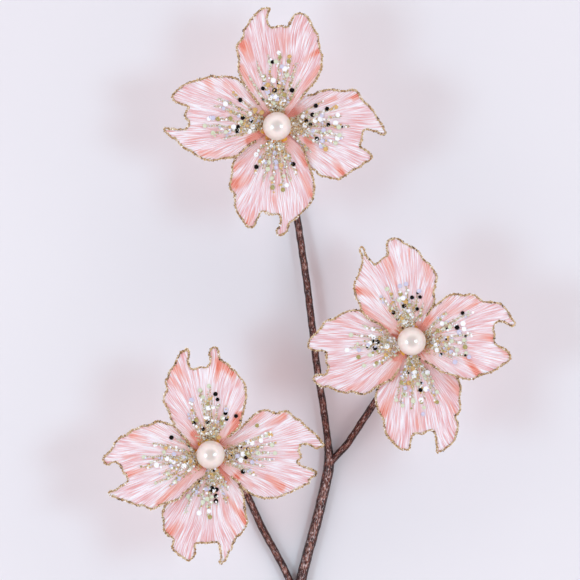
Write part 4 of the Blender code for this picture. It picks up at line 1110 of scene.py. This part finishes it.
# The tone is lighter on the upper side, a painted highlight.
tone = maths(tree, "ADD", attribute(tree, "tone"), fibre, clamp=True)
brown = tint_ramp(tree, tone, (0.0, "#200603"), (0.35, "#40130A"), (0.6, "#7C3E2E"), (1.0, "#C29A8C"))
pale_flecks_and_sheen = maths(tree, "ADD", maths(tree, "SUBTRACT", fleck, FLECK_FROM),
                maths(tree, "MULTIPLY", attribute(tree, "upper_sheen_and_wear"), FLECK_SHEEN_AND_WEAR))
share = maths(tree, "MULTIPLY", pale_flecks_and_sheen, FLECK_GAIN, clamp=True)
wire(tree, (blend_colours(tree, share, brown, "#E2D0CE"), shader.inputs["Base Color"]))
bumped(tree, shader, maths(tree, "ADD", fibre, fleck), 0.8, 0.0004)

# %% Stem
STEM_STEP = 0.6 * MM
STEM_SIDES = 28
TAPE_PITCH = 9.0 * MM
TAPE_RIDGE, RIDGE_AT = 0.14 * MM, 0.93
STEM_FLOOR = 0.02 * MM
MAP_WRAP = 2.0
TWIG_RADIUS, PAIR_RADIUS, BUNDLE_RADIUS, TWIG_END_RADIUS = 1.85 * MM, 2.65 * MM, 2.75 * MM, 1.5 * MM
BEND_RADIUS, BEND_FOOT, TWIG_TOP = 14.0 * MM, 1.6 * MM, 41.0 * MM
PAIR_OFFSET, BUNDLE_OFFSET = 0.83 * MM, 0.96 * MM
# Points along the stem, in pixels of the view and mm above the board
TWIGS = {
    "top_bloom": """288,170,2.6 297,218,4.2 303.5,260.6,5.8 308.6,297,6.8 317,367,6.6 322.4,401,5.6
        327.3,437.5,4.2""",
    "right_bloom": "386,386,2.9 375.7,401,3.4 361.2,423,3.9 346.6,444.8,3.7",
    "left_bloom": "236,474,2.3 247.3,495.7,2.6 261.8,527.2,2.9 276.4,553.9,2.9 288,577,2.8",
}
PAIR_RUN = "329,463,3.3 325.5,484,3.1 317.5,518,3.0 305.5,562,3.0"
BUNDLE_RUN = "296.5,600,2.95 287,645,2.95 280,705,2.9 276,770,2.75 274,830,2.5 273,960,2.5"
# Where each side twig joins, the bearings that it lies at round the thicker stem, and how far off
JOINS = {"right_bloom": ("329,463,3.3 325.5,484,3.1", (0, -5), PAIR_OFFSET),
         "left_bloom": ("296.5,600,2.95 287,645,2.95", (210, 210), BUNDLE_OFFSET)}


def stations(text):
    """Stem readings as places."""
    return [np.array((*spot(x, y, z * MM), z * MM)) for x, y, z in readings(text)]


def down_bend(centre, toward):
    """From under a bloom down round a bend to the board, heading for the twig's first point."""
    heading = (toward[:2] - centre) / np.linalg.norm(toward[:2] - centre)
    places = [np.array((*centre, TWIG_TOP))]
    for angle in np.linspace(0, math.pi / 2, 9):
        out = heading * BEND_RADIUS * (1 - math.cos(angle))
        places.append(np.array((*(centre + out), BEND_FOOT + BEND_RADIUS * (1 - math.sin(angle)))))
    return places


def strand(path, radii, seed):
    """A taped tube along places with a radius at each: corners, faces, tones with a painted highlight on top,
    a mask of painted sheen on top and of worn flecks where thick, and its map.
    """
    line = curved([np.array((*p, r)) for p, r in zip(path, radii)], STEM_STEP)
    line, radius = line[:, :3], line[:, 3]
    ahead = np.gradient(line, axis=0)
    ahead /= np.linalg.norm(ahead, axis=1)[:, None]
    across = np.zeros_like(ahead)
    across[0] = np.cross(ahead[0], (1, 0, 0))
    for k in range(1, len(line)):
        across[k] = across[k - 1] - ahead[k] * (across[k - 1] @ ahead[k])
        across[k] /= np.linalg.norm(across[k])
    ring = spokes(across, np.cross(across, ahead), STEM_SIDES)
    steps = np.concatenate([[0], np.cumsum(np.linalg.norm(np.diff(line, axis=0), axis=1))])[:, None]
    turn = np.arange(STEM_SIDES)[None, :] * 2 * math.pi / STEM_SIDES
    wound = (steps / TAPE_PITCH + turn / (2 * math.pi)) % 1.0
    ridge = TAPE_RIDGE * np.where(wound > RIDGE_AT, (1 - wound) / (1 - RIDGE_AT), wound / RIDGE_AT)
    wrap = turn / (2 * math.pi) * 12
    crumple = 0.10 * field(seed, steps / (2.4 * MM), wrap) + 0.06 * field(seed + 1, steps / (0.9 * MM), wrap)
    reach = radius[:, None] + ridge - 0.5 * TAPE_RIDGE + crumple * MM * 0.8
    corners = line[:, None] + ring * reach[:, :, None]
    corners[..., 2] = np.maximum(corners[..., 2], STEM_FLOOR)
    # The upper side is painted lighter, a painted highlight, in the tone and in the fleck mask. Thick runs
    # add worn flecks.
    upper = smooth((0.55, 1.0), ring[..., 2])
    tones = 0.08 + 1.6 * crumple + 0.22 * (wound - 0.5) + 0.42 * upper
    thick = np.clip((radius[:, None] - TWIG_RADIUS) / (BUNDLE_RADIUS - TWIG_RADIUS), 0, 1)
    values = tones, 0.65 * upper + 0.35 * thick, turn * MAP_WRAP + 0 * steps, steps / MM + 0 * turn
    return corners.reshape(-1, 3), tube_faces(len(line), STEM_SIDES), *(v.ravel() for v in values)


def aside(path, index, bearing, offset):
    """A place set off from a path, to one side and up, as seen along it."""
    ahead = path[min(index + 1, len(path) - 1)] - path[max(index - 1, 0)]
    across = np.array((-ahead[1], ahead[0], 0)) / math.hypot(ahead[0], ahead[1])
    angle = math.radians(bearing)
    return path[index] + offset * (math.cos(angle) * across + math.sin(angle) * np.array((0, 0, 1)))


columns, faces, start = [], [], 0
for bloom, text in TWIGS.items():
    run = stations(text)
    path = down_bend(np.array(spot(*CENTRES[bloom])), run[0]) + run
    radii = [TWIG_RADIUS] * len(path)
    if bloom in JOINS:
        text, bearings, offset = JOINS[bloom]
        shared = stations(text)
        path += [aside(shared, k, bearing, offset) for k, bearing in enumerate(bearings)]
        radii += [TWIG_RADIUS, TWIG_END_RADIUS]
    else:
        pair, bundle = stations(PAIR_RUN), stations(BUNDLE_RUN)
        path, radii = path + pair + bundle, radii + [PAIR_RADIUS] * len(pair) + [BUNDLE_RADIUS] * len(bundle)
    own_corners, own_faces, *own_values = strand(path, radii, 300 + 7 * len(columns))
    columns.append((own_corners, *own_values))
    faces += [tuple(v + start for v in face) for face in own_faces]
    start += len(own_corners)
corners, tones, upper_sheen_and_wear, around, along = (np.concatenate(column) for column in zip(*columns))
mesh = mesh_of("stem_tape", corners, faces)
add_attribute(mesh, "tone", tones)
add_attribute(mesh, "upper_sheen_and_wear", upper_sheen_and_wear)
add_lie(mesh, around, along)
dressed(mesh, [tape], "taped_stem")
print("stem faces:", len(mesh.polygons))

# %% [markdown]
# The calyxes and wires keep their own shapes. They get finishes of their own: wound tape and drawn steel.

# %% Calyxes and wires
binding, tree, shader = new_material("brown_tape_binding", {"Roughness": 0.4})
where = tree.nodes.new("ShaderNodeTexCoord")
winding = tree.nodes.new("ShaderNodeTexWave")
winding.bands_direction = "Z"
winding.inputs["Scale"].default_value = 110.0
winding.inputs["Distortion"].default_value = 3.0
wire(tree, (where.outputs["Object"], winding.inputs["Vector"]),
     (tint_ramp(tree, winding.outputs["Fac"], (0.0, "#240906"), (0.6, "#4A1C12"), (1.0, "#6E3B2A")),
      shader.inputs["Base Color"]))
bumped(tree, shader, winding.outputs["Fac"], 0.5, 0.0004)
steel = mottled_finish("drawn_steel", {"Metallic": 1.0, "Roughness": 0.35}, 700.0, MOTTLE_DETAIL,
                       ((0.3, "#7E7C7A"), (0.7, "#B4B2AE")))
for bloom in CENTRES:
    for part_name, material in (("_calyx", binding), ("_wire", steel)):
        for slot_of_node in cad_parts[bloom + part_name].material_slots:
            slot_of_node.material = material
print("calyxes and wires:", 2 * len(CENTRES))

# %% [markdown]
# ## Cloth
#
# Each petal is one sheet of satin. It was cut flat, then heat pressed into pleats that gather it, so its flat
# width has a tenth more than the outline shows. Here only each outline's reach from its pearl is measured,
# and nothing is made from it.

for name, piece in petals.items():
    bearing, distance = blades[name].polar(outline_of(blades[name]))
    length = float(distance.max())
print("sheets:", len(petals))
